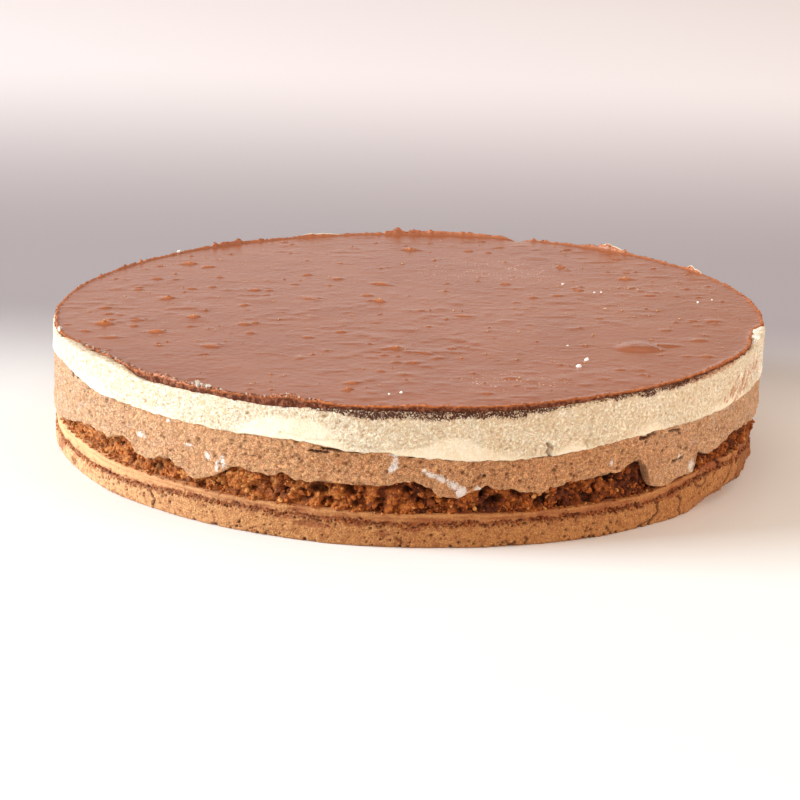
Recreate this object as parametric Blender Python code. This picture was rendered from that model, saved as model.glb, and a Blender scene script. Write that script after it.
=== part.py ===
"""A round hazelnut cake, set in a 260 mm ring: sponge, hazelnut crunch, two mousses and a glaze.

Each layer is one closed solid that runs right through the cake. Its shape comes from rings of
points, listed from the middle of its underside, out, up its side and back in over its top.
A ring is a function of the bearing, in degrees anticlockwise from +X, that gives a radius and a
height. Neighbouring layers read the same boundary function, so their faces follow each other
with the same thin gap all the way round.

Metres, +Z up. The origin is the middle of the underside, and the front of the cake faces -Y.
"""

import math
import random

import bmesh
import bpy
from mathutils import Matrix, Vector, noise

MM = 0.001

# The whole cake
RING_RADIUS = 130 * MM
HEIGHT = 47.15 * MM  # at the centre of the glaze
TOP_RISE_X = math.tan(math.radians(1.4))  # the cake set on a slope, so its top climbs to +X
TOP_RISE_Y = math.tan(math.radians(0.27))  # and a very little to the back
GAP = 0.3 * MM  # between one layer and the next

# Sponge base
SPONGE_TOP = 11.3 * MM
SPONGE_SKIN = 2.7 * MM  # from the pitted groove up to the smooth skin on top
GROOVE_DEPTH = 1.7 * MM
SPONGE_SWELL = (-34, 22, 3.6 * MM)  # bearing, half width in degrees, rise of its top
TORN_SIDE = (-8, 24, 1.2 * MM)  # bearing, half width in degrees, depth of the broken edge
CHIPPED_FOOT = (-32, 13, 4.6 * MM)  # where its lower edge has broken away, and how far

# Hazelnut crunch
CRUNCH_TOP = 20.0 * MM
CRUNCH_RECESS = 2.9 * MM  # how far its side stands back from the ring
CRUNCH_RIM = 4.9 * MM  # and how far in its heaps keep the height of the rim
CRAG_SIZE = 2.4 * MM
CRAG_DEPTH = 0.9 * MM
NUT_COUNT = 80
NUT_RADIUS = (1.3 * MM, 2.1 * MM)

# Where the chocolate mousse ran down over the crunch before it set, and where the crunch is
# heaped: bearing, half width in degrees, how far the boundary falls (-) or climbs (+)
FRONT_EDGE = (
    (-166, 22, -7.2 * MM),
    (-140, 2.4, -2.4 * MM),
    (-137, 3.0, 2.8 * MM),
    (-131.5, 5.5, -3.8 * MM),
    (-121.5, 6.0, -5.6 * MM),
    (-115, 2.6, 1.6 * MM),
    (-107, 3.2, 2.0 * MM),
    (-89.5, 5.5, 2.6 * MM),
    (-83.3, 3.4, -4.6 * MM),
    (-71.5, 6.0, -3.1 * MM),
    (-57, 7.0, 2.4 * MM),
    (-54, 2.4, 1.8 * MM),
    (-48, 4.2, -6.6 * MM),
    (-43.6, 3.4, -5.2 * MM),
    (-27, 12, 2.2 * MM),
)
BACK_EDGE_FROM, BACK_EDGE_TO = 0, 176  # bearings whose drips and heaps follow a rule
BACK_EDGE_STEP = (9, 17)
BACK_EDGE_DRIP = (1.5 * MM, 6.0 * MM)
BACK_EDGE_HEAP = (0.8 * MM, 2.4 * MM)

# Chocolate mousse and cream mousse
CREAM_FOOT = 33.6 * MM
CREAM_FOOT_SWELLS = (
    (-157, 16, 2.6 * MM),
    (-98, 5.5, -1.3 * MM),
    (-76, 30, -4.0 * MM),
    (-18, 16, 1.6 * MM),
)
MOUSSE_WOBBLE = 0.35 * MM

# Glaze
GLAZE_THICKNESS = 1.1 * MM
GLAZE_INSET = 0.7 * MM
REBATE_GAP = 0.4 * MM  # between the glaze's edge and the cream's rim round it
GLAZE_INSETS = ((-147, 20, 4.2 * MM), (-13, 14, 3.0 * MM))  # where the cream's rim shows round it
GLAZE_ROLLS = ((-110, 9, 0.9 * MM), (-74, 20, 0.8 * MM))  # where the glaze ran thick at the front
CREAM_STAND = 0.9 * MM  # how far the cream's rim, where it is bare, stands above the glaze
RIM_BURR = 0.7 * MM  # the lip that the ring pulled up
RIM_RIDGES = (  # where it pulled up more (+) or none (-): bearing, half width in degrees, height
    (-132, 26, 1.6 * MM),
    (-107, 9, 2.1 * MM),
    (-90, 10, 0.9 * MM),
    (-74, 7, -0.5 * MM),
    (-50, 13, -1.0 * MM),
    (93, 5, 1.5 * MM),
    (82, 9, 1.0 * MM),
    (51, 5, 2.0 * MM),
    (31, 5, 0.8 * MM),
    (126, 6, 0.7 * MM),
)
BLISTER_PLACE = (80 * MM, -56 * MM)
BLISTER_RADII = (6.2 * MM, 4.2 * MM, 1.2 * MM)
BUMP_COUNT = 20
BUMP_RADII = (2.2 * MM, 1.5 * MM, 0.8 * MM)
GOLDEN_ANGLE = 137.5  # degrees from one bump to the next

# Points round each ring
SPONGE_POINTS = 120
CRUNCH_POINTS = 200  # shared by the crunch and the mousse that sits on its heaps
CREAM_POINTS = 120
GLAZE_POINTS = 120


def swell(bearing, centre, half_width):
    """1 at the centre bearing, falling smoothly to 0 half_width degrees either side."""
    off = abs((bearing - centre + 180) % 360 - 180)
    return 0.5 + 0.5 * math.cos(math.pi * min(off / half_width, 1))


def wobble(bearing, waves, seed):
    """Smooth noise from -1 to 1 round the cake, with about that many waves in a turn."""
    angle = math.radians(bearing)
    reach = waves / 6
    return 2 * noise.noise(Vector((reach * math.cos(angle), reach * math.sin(angle), seed)))


def back_edge():
    """Drips and heaps for the back, in turn and unevenly spaced."""
    draw = random.Random(7)
    found = []
    bearing = BACK_EDGE_FROM
    while bearing < BACK_EDGE_TO:
        drips = len(found) % 2 == 0
        height = -draw.uniform(*BACK_EDGE_DRIP) if drips else draw.uniform(*BACK_EDGE_HEAP)
        found.append((bearing, draw.uniform(3.5, 8), height))
        bearing += draw.uniform(*BACK_EDGE_STEP)
    return tuple(found)


CRUNCH_EDGE = FRONT_EDGE + back_edge()


def sponge_rim(bearing):
    """Height of the sponge's top at its edge."""
    centre, half_width, rise = SPONGE_SWELL
    return SPONGE_TOP + rise * swell(bearing, centre, half_width) + 0.3 * MM * wobble(bearing, 20, 1)


def crunch_rim(bearing):
    """Height where the crunch ends and the chocolate mousse begins, at the side."""
    height = CRUNCH_TOP + 0.4 * MM * wobble(bearing, 60, 2)
    for centre, half_width, change in CRUNCH_EDGE:
        height += change * swell(bearing, centre, half_width)
    return max(height, sponge_rim(bearing) + 1.6 * MM)


def cream_rim(bearing):
    """Height of the underside of the cream mousse at the side."""
    height = CREAM_FOOT + 0.25 * MM * wobble(bearing, 30, 3)
    for centre, half_width, change in CREAM_FOOT_SWELLS:
        height += change * swell(bearing, centre, half_width)
    return height


def top_at(bearing, radius):
    """Height of the sloping top face."""
    angle = math.radians(bearing)
    return HEIGHT + radius * (TOP_RISE_X * math.cos(angle) + TOP_RISE_Y * math.sin(angle))


def glaze_inset(bearing):
    """How far the glaze's edge lies in from the ring."""
    inset = GLAZE_INSET + 0.25 * MM * wobble(bearing, 50, 4)
    for centre, half_width, depth in GLAZE_INSETS:
        inset += depth * swell(bearing, centre, half_width)
    return inset


def glaze_foot(bearing):
    """Depth of the glaze at its edge."""
    depth = GLAZE_THICKNESS
    for centre, half_width, more in GLAZE_ROLLS:
        depth += more * swell(bearing, centre, half_width)
    return depth


def torn(bearing):
    """How broken the sponge's side is at a bearing, from 0 to 1."""
    centre, half_width, _ = TORN_SIDE
    return swell(bearing, centre, half_width)


def craggy(bearing, height, seed):
    """Coarse crumb relief from -1 to 1 on the side of the cake."""
    angle = math.radians(bearing)
    place = Vector((RING_RADIUS * math.cos(angle), RING_RADIUS * math.sin(angle), height))
    return 2 * noise.noise(place / CRAG_SIZE + Vector((seed, 0, 0)))


def sponge_rings():
    """A sponge with a pitted groove under its smooth top skin, broken at the right."""

    def side(setback, level, tear, chip=0.0):
        def ring(bearing):
            rim = sponge_rim(bearing)
            ragged = torn(bearing)
            centre, half_width, deep = CHIPPED_FOOT
            radius = RING_RADIUS - 0.5 * MM - setback + 0.35 * MM * wobble(bearing, 24, 5)
            radius -= ragged * (tear * TORN_SIDE[2] + 0.8 * MM * craggy(bearing, level * rim, 6))
            radius -= chip * deep * swell(bearing, centre, half_width)
            return radius, level * rim

        return ring

    def skin(setback, below, tear):
        def ring(bearing):
            radius = RING_RADIUS - 0.5 * MM - setback + 0.2 * MM * wobble(bearing, 24, 7)
            return radius - torn(bearing) * tear * TORN_SIDE[2], sponge_rim(bearing) - below

        return ring

    return [
        side(1.1 * MM, 0.0, 1.0, chip=1.0),
        side(0.2 * MM, 0.13, 1.0, chip=0.7),
        side(0.0, 0.40, 0.8, chip=0.1),
        side(0.1 * MM, 0.62, 0.5),
        skin(GROOVE_DEPTH, SPONGE_SKIN, 0.3),
        skin(0.9 * MM, 1.8 * MM, 0.3),
        skin(1.0 * MM, 0.5 * MM, 0.3),
        skin(2.4 * MM, 0.0, 0.2),
        lambda bearing: (RING_RADIUS - 16 * MM, SPONGE_TOP),
    ]


def crunch_rings():
    """Hazelnut crunch with a craggy side, heaped and hollowed along its top edge."""

    def side(level, setback):
        def ring(bearing):
            low = sponge_rim(bearing) + GAP
            high = crunch_rim(bearing) - GAP / 2
            height = low + level * (high - low)
            relief = CRAG_DEPTH * craggy(bearing, height, 8)
            return RING_RADIUS - CRUNCH_RECESS - setback + relief, height

        return ring

    return [
        lambda bearing: (RING_RADIUS - 16 * MM, SPONGE_TOP + GAP),
        side(0.0, 1.2 * MM),
        side(0.25, 0.0),
        side(0.55, 0.2 * MM),
        side(0.85, 0.0),
        side(1.0, 0.9 * MM),
        lambda bearing: (RING_RADIUS - CRUNCH_RIM, crunch_rim(bearing) - GAP / 2),
        lambda bearing: (RING_RADIUS - 13 * MM, CRUNCH_TOP - GAP / 2),
    ]


def chocolate_rings():
    """Chocolate mousse, whose lower edge hangs over the crunch in uneven lobes."""

    def outer(bearing, seed):
        return RING_RADIUS - 0.3 * MM + MOUSSE_WOBBLE * wobble(bearing, 40, seed)

    return [
        lambda bearing: (RING_RADIUS - 13 * MM, CRUNCH_TOP + GAP / 2),
        lambda bearing: (RING_RADIUS - CRUNCH_RIM, crunch_rim(bearing) + GAP / 2),
        lambda bearing: (outer(bearing, 9) - 0.7 * MM, crunch_rim(bearing) + GAP / 2),
        lambda bearing: (outer(bearing, 9), crunch_rim(bearing) + 1.3 * MM),
        lambda bearing: (outer(bearing, 10), cream_rim(bearing) - 1.2 * MM),
        lambda bearing: (outer(bearing, 10) - 0.4 * MM, cream_rim(bearing) - GAP / 2),
        lambda bearing: (RING_RADIUS - 14 * MM, CREAM_FOOT - GAP / 2),
    ]


def cream_rings():
    """Cream mousse, with a rebate in its top that the glaze lies in."""

    def outer(bearing, seed):
        return RING_RADIUS + 0.5 * MOUSSE_WOBBLE * wobble(bearing, 30, seed)

    def rebate(bearing):
        radius = RING_RADIUS - glaze_inset(bearing) + REBATE_GAP
        return radius, top_at(bearing, radius) - glaze_foot(bearing) - GAP

    def shoulder(bearing):
        inner, floor = rebate(bearing)
        lip = min(max((glaze_inset(bearing) - 1.2 * MM) / (2 * MM), 0), 1)
        radius = inner + 0.4 * (outer(bearing, 12) - inner)
        return radius, floor + lip * (glaze_foot(bearing) + CREAM_STAND)

    def upper(bearing):
        _, height = shoulder(bearing)
        return outer(bearing, 12), height - 0.6 * MM

    def bed(bearing):
        radius = RING_RADIUS - 14 * MM
        return radius, top_at(bearing, radius) - GLAZE_THICKNESS - GAP

    return [
        lambda bearing: (RING_RADIUS - 14 * MM, CREAM_FOOT + GAP),
        lambda bearing: (outer(bearing, 11) - 0.3 * MM, cream_rim(bearing) + GAP),
        lambda bearing: (outer(bearing, 11), cream_rim(bearing) + 1.4 * MM),
        upper,
        shoulder,
        rebate,
        bed,
    ]


def glaze_rings():
    """A thin chocolate glaze with a raised, ragged rim."""

    def edge(bearing):
        return RING_RADIUS - glaze_inset(bearing)

    def burr(bearing):
        height = RIM_BURR * (0.55 + 0.45 * wobble(bearing, 70, 13))
        for centre, half_width, more in RIM_RIDGES:
            height += more * swell(bearing, centre, half_width)
        return height

    def underside(bearing):
        radius = edge(bearing) - 0.4 * MM
        return radius, top_at(bearing, radius) - glaze_foot(bearing)

    def bed(bearing):
        radius = RING_RADIUS - 14 * MM
        return radius, top_at(bearing, radius) - GLAZE_THICKNESS

    def side(bearing):
        return edge(bearing), top_at(bearing, edge(bearing)) - 0.5 * MM

    def rim(bearing):
        radius = edge(bearing) - 0.5 * MM
        return radius, top_at(bearing, radius) + burr(bearing)

    def pool(bearing):
        radius = edge(bearing) - 2.2 * MM
        return radius, top_at(bearing, radius)

    return [bed, underside, side, rim, pool]


def material(name, colour, roughness):
    """A plain finish for a layer: sRGB colour and roughness."""
    made = bpy.data.materials.new(name)
    made.use_nodes = True
    shader = made.node_tree.nodes["Principled BSDF"]
    linear = [((c + 0.055) / 1.055) ** 2.4 for c in colour]
    shader.inputs["Base Color"].default_value = (*linear, 1)
    shader.inputs["Roughness"].default_value = roughness
    shader.inputs["Metallic"].default_value = 0
    return made


def add_object(name, mesh, finish):
    """A linked object whose faces are shaded smooth between sharp edges."""
    mesh.shade_smooth()
    mesh.set_sharp_from_angle(angle=math.radians(40))
    made = bpy.data.objects.new(name, mesh)
    made.data.materials.append(finish)
    bpy.context.scene.collection.objects.link(made)
    return made


def turned_layer(name, rings, points, finish):
    """The closed solid through the rings, capped flat inside the first and the last."""
    shape = bmesh.new()
    loops = []
    for ring in rings:
        corners = []
        for step in range(points):
            bearing = 360 * step / points
            radius, height = ring(bearing)
            angle = math.radians(bearing)
            corners.append(shape.verts.new((radius * math.cos(angle), radius * math.sin(angle), height)))
        loops.append(corners)
    for lower, upper in zip(loops, loops[1:]):
        for here in range(points):
            a, b = lower[here], lower[(here + 1) % points]
            d, c = upper[here], upper[(here + 1) % points]
            # The diagonal runs the same way, in to out, on a top as on the underside it meets.
            outward = a.co.xy.length < d.co.xy.length
            corners = ((a, b, c), (a, c, d)) if outward else ((a, b, d), (b, c, d))
            for three in corners:
                shape.faces.new(three)
    shape.faces.new(list(reversed(loops[0])))
    shape.faces.new(loops[-1])
    bmesh.ops.recalc_face_normals(shape, faces=shape.faces)
    mesh = bpy.data.meshes.new(name)
    shape.to_mesh(mesh)
    shape.free()
    return add_object(name, mesh, finish)


def lump(place, turn, radii, draw, subdivisions):
    """One uneven rounded lump, as an object to be joined to a layer."""
    shape = bmesh.new()
    bmesh.ops.create_icosphere(shape, subdivisions=subdivisions, radius=1)
    for corner in shape.verts:
        corner.co *= draw.uniform(0.82, 1.12)
    size = Matrix.Diagonal((*radii, 1))
    bmesh.ops.transform(shape, matrix=Matrix.Translation(place) @ turn @ size, verts=shape.verts)
    mesh = bpy.data.meshes.new("lump")
    shape.to_mesh(mesh)
    shape.free()
    return bpy.data.objects.new("lump", mesh)


def join(layer, lumps):
    """Fuses the lumps to the layer with one Boolean union, and removes them."""
    group = bpy.data.collections.new("lumps")
    bpy.context.scene.collection.children.link(group)
    for piece in lumps:
        group.objects.link(piece)
    union = layer.modifiers.new("join", "BOOLEAN")
    union.operation = "UNION"
    union.solver = "EXACT"
    union.operand_type = "COLLECTION"
    union.collection = group
    bpy.context.view_layer.objects.active = layer
    bpy.ops.object.modifier_apply(modifier=union.name)
    for piece in list(group.objects):
        bpy.data.objects.remove(piece)
    bpy.data.collections.remove(group)


def crunch_nuts():
    """Nut pieces spread round the crunch, half sunk in its side."""
    draw = random.Random(11)
    found = []
    for step in range(NUT_COUNT):
        bearing = 360 * (step + draw.uniform(-0.3, 0.3)) / NUT_COUNT
        size = draw.uniform(*NUT_RADIUS)
        low = sponge_rim(bearing) + GAP + 1.2 * size
        high = min(crunch_rim(bearing + nearby) for nearby in (-2, -1, 0, 1, 2)) - GAP - 1.2 * size
        share = draw.random()
        if high < low:
            continue
        angle = math.radians(bearing)
        radius = RING_RADIUS - CRUNCH_RECESS - 0.2 * size
        height = low + share * (high - low)
        place = Vector((radius * math.cos(angle), radius * math.sin(angle), height))
        radii = (size, size * draw.uniform(0.8, 1.2), size * draw.uniform(0.7, 1.0))
        found.append(lump(place, Matrix.Rotation(angle, 4, "Z"), radii, draw, 1))
    return found


def glaze_bumps():
    """The blister and the larger nut pieces that lift the glaze, spread evenly by a spiral."""
    draw = random.Random(5)
    x, y = BLISTER_PLACE
    radius = math.hypot(x, y)
    blister = Vector((x, y, top_at(math.degrees(math.atan2(y, x)), radius) + 0.3 * MM))
    found = [lump(blister, Matrix.Rotation(0.1, 4, "Z"), BLISTER_RADII, draw, 2)]
    for step in range(BUMP_COUNT):
        bearing = GOLDEN_ANGLE * step + draw.uniform(-9, 9)
        radius = (RING_RADIUS - 14 * MM) * math.sqrt((step + 0.7) / BUMP_COUNT)
        angle = math.radians(bearing)
        height = top_at(bearing, radius) + 0.1 * MM
        place = Vector((radius * math.cos(angle), radius * math.sin(angle), height))
        size = draw.uniform(0.7, 1.25)
        radii = tuple(size * part for part in BUMP_RADII)
        turn = Matrix.Rotation(draw.uniform(0, math.pi), 4, "Z")
        if (place - blister).length > 12 * MM:
            found.append(lump(place, turn, radii, draw, 1))
    return found


def main():
    for old in list(bpy.data.objects):
        bpy.data.objects.remove(old)

    turned_layer("sponge_base", sponge_rings(), SPONGE_POINTS, material("sponge", (0.80, 0.62, 0.46), 0.8))
    crunch = turned_layer(
        "hazelnut_crunch", crunch_rings(), CRUNCH_POINTS, material("crunch", (0.42, 0.24, 0.14), 0.6)
    )
    join(crunch, crunch_nuts())
    turned_layer(
        "chocolate_mousse", chocolate_rings(), CRUNCH_POINTS, material("mousse", (0.74, 0.57, 0.45), 0.7)
    )
    turned_layer("cream_mousse", cream_rings(), CREAM_POINTS, material("cream", (0.95, 0.90, 0.78), 0.6))
    glaze = turned_layer(
        "chocolate_glaze", glaze_rings(), GLAZE_POINTS, material("glaze", (0.58, 0.36, 0.28), 0.3)
    )
    join(glaze, glaze_bumps())


main()
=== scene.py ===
# %% [markdown]
# # A round hazelnut cake in five layers
#
# The cake was set in a ring 260 mm across: a sponge, a crunch of crushed hazelnuts, chocolate mousse,
# cream mousse and a thin glaze. When the ring came off, the sides of all five were left bare, with
# every pore, drip and crumb showing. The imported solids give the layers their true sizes. This lesson
# lays a fine surface over each of them, as real geometry, and gives it a finish.

import itertools
import math

import bmesh
import bpy
import numpy as np
from mathutils import Matrix, Vector
from mathutils.geometry import delaunay_2d_cdt


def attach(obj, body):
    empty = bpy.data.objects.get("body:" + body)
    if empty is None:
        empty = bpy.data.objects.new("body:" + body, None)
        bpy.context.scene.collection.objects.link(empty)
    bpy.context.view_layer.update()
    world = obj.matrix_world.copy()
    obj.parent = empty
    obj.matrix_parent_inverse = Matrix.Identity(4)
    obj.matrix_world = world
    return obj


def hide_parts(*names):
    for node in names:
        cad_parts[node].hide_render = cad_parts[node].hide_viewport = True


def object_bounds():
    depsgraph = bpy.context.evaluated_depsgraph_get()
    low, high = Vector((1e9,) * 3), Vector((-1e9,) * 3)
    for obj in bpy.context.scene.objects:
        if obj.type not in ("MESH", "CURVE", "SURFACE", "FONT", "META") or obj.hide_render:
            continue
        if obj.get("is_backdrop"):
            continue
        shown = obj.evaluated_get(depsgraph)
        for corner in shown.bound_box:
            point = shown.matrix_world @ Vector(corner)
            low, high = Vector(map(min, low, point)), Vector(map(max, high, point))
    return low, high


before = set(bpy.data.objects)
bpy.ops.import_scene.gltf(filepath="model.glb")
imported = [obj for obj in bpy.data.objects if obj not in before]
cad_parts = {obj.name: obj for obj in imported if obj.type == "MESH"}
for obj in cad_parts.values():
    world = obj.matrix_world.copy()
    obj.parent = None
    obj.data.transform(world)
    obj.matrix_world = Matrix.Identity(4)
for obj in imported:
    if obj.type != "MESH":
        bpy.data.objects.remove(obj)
solid_low, solid_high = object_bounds()
MM = 1000.0  # mm in a metre, as Blender counts in metres and this lesson in mm
print("solids, in mm:", [round(MM * (high - low), 1) for low, high in zip(solid_low, solid_high)])

# %% [markdown]
# ## The view
# The photograph looks down at the cake by 16 degrees with a long lens, and leans a little to one side.
# The camera is set by those three facts and its place, found from the outlines of both rims of the cake.

# %% Camera
CAMERA_PLACE = (-0.0022, -0.7977, 0.2430)
CAMERA_DOWN = math.radians(16.17)
CAMERA_LEAN = math.radians(1.87)
CAMERA_LENS = 100  # mm, on a sensor 36 mm wide

camera = bpy.data.objects.new("camera", bpy.data.cameras.new("camera"))
camera.data.lens = CAMERA_LENS
camera.data.sensor_width = 36
camera.data.clip_start = 0.01
camera.matrix_world = (
    Matrix.Translation(CAMERA_PLACE)
    @ Matrix.Rotation(math.pi / 2 - CAMERA_DOWN, 4, "X")
    @ Matrix.Rotation(CAMERA_LEAN, 4, "Z")
)
bpy.context.scene.collection.objects.link(camera)
bpy.context.scene.camera = camera
bpy.context.scene.view_settings.view_transform = "Standard"
print("camera", [round(x, 3) for x in camera.location])

# %% [markdown]
# ## Sums on a material's sockets
# A finish is worked out by nodes, and most of them only add and multiply. This class wraps one socket,
# so that `1 - mask * 0.5` writes the Math nodes itself. Any other node comes from its `node` method.

# %% A socket that takes part in sums
class Wire:
    """One output socket of a material, used in sums like a number."""

    def __init__(self, tree, socket=None):
        self.tree = tree
        self.socket = socket

    def node(self, kind, settings=None, inputs=None, output=0):
        """The output of a new node, with its settings made first and its inputs valued or linked."""
        made = self.tree.nodes.new("ShaderNode" + kind)
        for name, value in (settings or {}).items():
            if name == "stops":
                fill_ramp(made.color_ramp, value)
            else:
                setattr(made, name, value)
        for name, value in (inputs or {}).items():
            self.feed(made.inputs[name], value)
        return Wire(self.tree, made.outputs[output])

    def feed(self, socket, value):
        """Links a wire to a socket, or sets the socket's value."""
        if isinstance(value, Wire):
            self.tree.links.new(value.socket, socket)
        else:
            socket.default_value = value

    def maths(self, operation, first, second=0.0, clamp=False):
        return self.node("Math", {"operation": operation, "use_clamp": clamp}, {0: first, 1: second})

    def __add__(self, other):
        return self.maths("ADD", self, other)

    __radd__ = __add__

    def __sub__(self, other):
        return self.maths("SUBTRACT", self, other)

    def __rsub__(self, other):
        return self.maths("SUBTRACT", other, self)

    def __mul__(self, other):
        return self.maths("MULTIPLY", self, other)

    __rmul__ = __mul__

    def __pow__(self, other):
        return self.maths("POWER", self, other)

    def clamped(self):
        return self.maths("ADD", self, 0.0, clamp=True)


def fill_ramp(ramp, stops):
    """Sets a colour ramp's stops: pairs of a position and a colour."""
    while len(ramp.elements) > 1:
        ramp.elements.remove(ramp.elements[-1])
    ramp.elements[0].position, ramp.elements[0].color = stops[0]
    for position, colour in stops[1:]:
        ramp.elements.new(position).color = colour


# %% [markdown]
# Colours are read off the photograph as screen values from 0 to 255, and a shader wants light, which
# is not in proportion to them. One function turns the first into the second. A food's colour is then
# built up like paint: a ground, and coat after coat of other colours, each where a mask lets it show.

# %% Colours and steps
def screen(red, green, blue):
    """A screen colour as the light that it stands for."""
    shares = (channel / 255 for channel in (red, green, blue))
    return (*(share / 12.92 if share < 0.04 else ((share + 0.055) / 1.055) ** 2.4 for share in shares), 1)


def step(wire, start, end):
    """0 before start, 1 after end, and a smooth rise between them."""
    limits = {"Value": wire, "From Min": start, "From Max": end}
    return wire.node("MapRange", {"interpolation_type": "SMOOTHSTEP"}, limits)


def mixed(share, first, second):
    """The first colour where share is 0, and the second where it is 1."""
    return share.node("Mix", {"data_type": "RGBA"}, {0: share, 6: first, 7: second}, output=2)


def coated(colour, *coats):
    """A colour under coats of others: each coat is a share from 0 to 1, and a screen colour."""
    for share, coat in coats:
        colour = mixed(share, colour, screen(*coat))
    return colour


print("screen grey 128 is light", round(screen(128, 128, 128)[0], 3))

# %% [markdown]
# Two textures make all the crumb of this cake: clouds of noise, soft or crisp, and round pores. Each
# is worked out from the place on the object in mm, so a size given here is a size on the real cake.

# %% Noise and pores
def cloud(place, size, detail=3.0, roughness=0.55, curl=0.0):
    """Soft noise from 0 to 1 with features about size mm across, drawn out into curls if asked."""
    inputs = {"Vector": place, "Scale": 1 / size, "Detail": detail, "Roughness": roughness}
    return place.node("TexNoise", {}, {**inputs, "Distortion": curl}, output="Fac")


def fine_grain(place, size):
    """Crisp grain from 0 to 1 for the texture of crumb and mousse, with features about size mm across."""
    return step(cloud(place, size, 2.0, 0.7), 0.32, 0.68)


def mottled(place, size, first, second):
    """Two near screen colours in soft patches about size mm across."""
    return mixed(step(cloud(place, size), 0.35, 0.65), screen(*first), screen(*second))


def pores(place, spacing, radius, share):
    """1 in round pores and 0 outside them. Spacing and radius are in mm, and share of the cells has one."""
    inputs = {"Vector": place, "Scale": 1 / spacing}
    distance = place.node("TexVoronoi", {}, inputs, output="Distance")
    draw = place.node("TexVoronoi", {}, inputs, output="Color")
    draw = draw.node("SeparateColor", {}, {"Color": draw}, output="Red")
    grown = (draw - (1 - share)) * (1 / share)
    size = grown.maths("MAXIMUM", grown, 0.0) ** 0.5 * (radius / spacing)
    return ((size - distance) * (2.5 * spacing / radius)).clamped()


# %% A finish from its start to its end
def new_finish(name):
    """A material, its shader, and the wire of places on the object in mm."""
    material = bpy.data.materials.new(name)
    material.use_nodes = True
    tree = material.node_tree
    place = Wire(tree).node("TexCoord", {}, {}, output="Object")
    place = place.node("VectorMath", {"operation": "SCALE"}, {0: place, "Scale": MM})
    return material, tree.nodes["Principled BSDF"], place


def mark(place, name):
    """A value kept on the mesh's points, such as how deep they lie in a pore."""
    return place.node("Attribute", {"attribute_name": name}, {}, output="Fac")


def bump(place, height, depth):
    """A normal from a height of 0 to 1 that stands for depth mm."""
    inputs = {"Height": height, "Distance": depth / MM, "Strength": 1.0}
    return place.node("Bump", {}, inputs, output="Normal")


def complete(shader, place, colour, normal, values):
    """Gives a shader its colour, its normal and the values that are the same all over the surface."""
    place.feed(shader.inputs["Base Color"], colour)
    place.feed(shader.inputs["Normal"], normal)
    for name, value in values.items():
        shader.inputs[name].default_value = value
    print("a finish of", len(place.tree.nodes), "nodes")


# %% [markdown]
# ## The floor
# The floor is plain: white under and before the cake, and fading to grey and then paler again far
# behind it. One large disc does for all of it, coloured by how far back a place lies.

# %% Floor
FLOOR_RADIUS = 12  # m
FLOOR_WHITE, MID_GREY, FAR_GREY = screen(240, 239, 238), screen(160, 152, 156), screen(236, 229, 231)
WHITE_FADE, GREY_FADE = (10.0, 190.0), (280.0, 1000.0)  # mm behind the cake's middle

floor_mesh = bpy.data.meshes.new("floor")
shape = bmesh.new()
bmesh.ops.create_circle(shape, cap_ends=True, radius=FLOOR_RADIUS, segments=96)
shape.to_mesh(floor_mesh)
shape.free()
floor = bpy.data.objects.new("floor", floor_mesh)
bpy.context.scene.collection.objects.link(floor)
floor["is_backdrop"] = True

finish, shader, place = new_finish("floor")
behind = place.node("SeparateXYZ", {}, {0: place}, output="Y")
grey = mixed(step(behind, *GREY_FADE), MID_GREY, FAR_GREY)
place.feed(shader.inputs["Base Color"], mixed(step(behind, *WHITE_FADE), FLOOR_WHITE, grey))
shader.inputs["Roughness"].default_value = 0.6
floor_mesh.materials.append(finish)
print("floor is", 2 * FLOOR_RADIUS, "m across")

# %% [markdown]
# ## The light
# Bright soft daylight comes from the left and warmer light comes back from the right. The flat glaze
# reflects the sky behind the cake, which is bright up to the height that it reflects and dim above it.
# So each wrinkle of the glaze shows its own brown on the side that faces the camera.

# %% Sky
SKY_LOW, SKY_TOP = screen(160, 148, 144), screen(236, 218, 202)
BACK_LOW, BACK_BRIGHT, BACK_DIM = screen(252, 246, 242), screen(236, 223, 219), screen(122, 106, 98)
BACK_RIGHT = screen(210, 185, 164)
# Where one turns into the next, along a direction of length 1: up, to the back and to the right.
FRONT_RISE, LOW_END, BRIGHT_END, DIM_END = (0.1, 0.4), (0.1, 0.24), (0.28, 0.46), (0.6, 0.85)
BACK_START, RIGHT_START = (0.1, 0.6), (-0.02, 0.22)

world = bpy.data.worlds.new("studio")
bpy.context.scene.world = world
world.use_nodes = True
sky = Wire(world.node_tree).node("TexCoord", {}, {}, output="Generated")
right, back, up = (sky.node("SeparateXYZ", {}, {0: sky}, output=axis) for axis in "XYZ")
behind_cake = mixed(step(right, *RIGHT_START), BACK_BRIGHT, BACK_RIGHT)
behind_cake = mixed(step(up, *LOW_END), BACK_LOW, behind_cake)
behind_cake = mixed(step(up, *BRIGHT_END), behind_cake, BACK_DIM)
behind_cake = mixed(step(up, *DIM_END), behind_cake, SKY_TOP)
front = mixed(step(up, *FRONT_RISE), SKY_LOW, SKY_TOP)
background = world.node_tree.nodes["Background"]
sky.feed(background.inputs["Color"], mixed(step(back, *BACK_START), front, behind_cake))
background.inputs["Strength"].default_value = 1.0
print("sky of", len(world.node_tree.nodes), "nodes")


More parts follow.
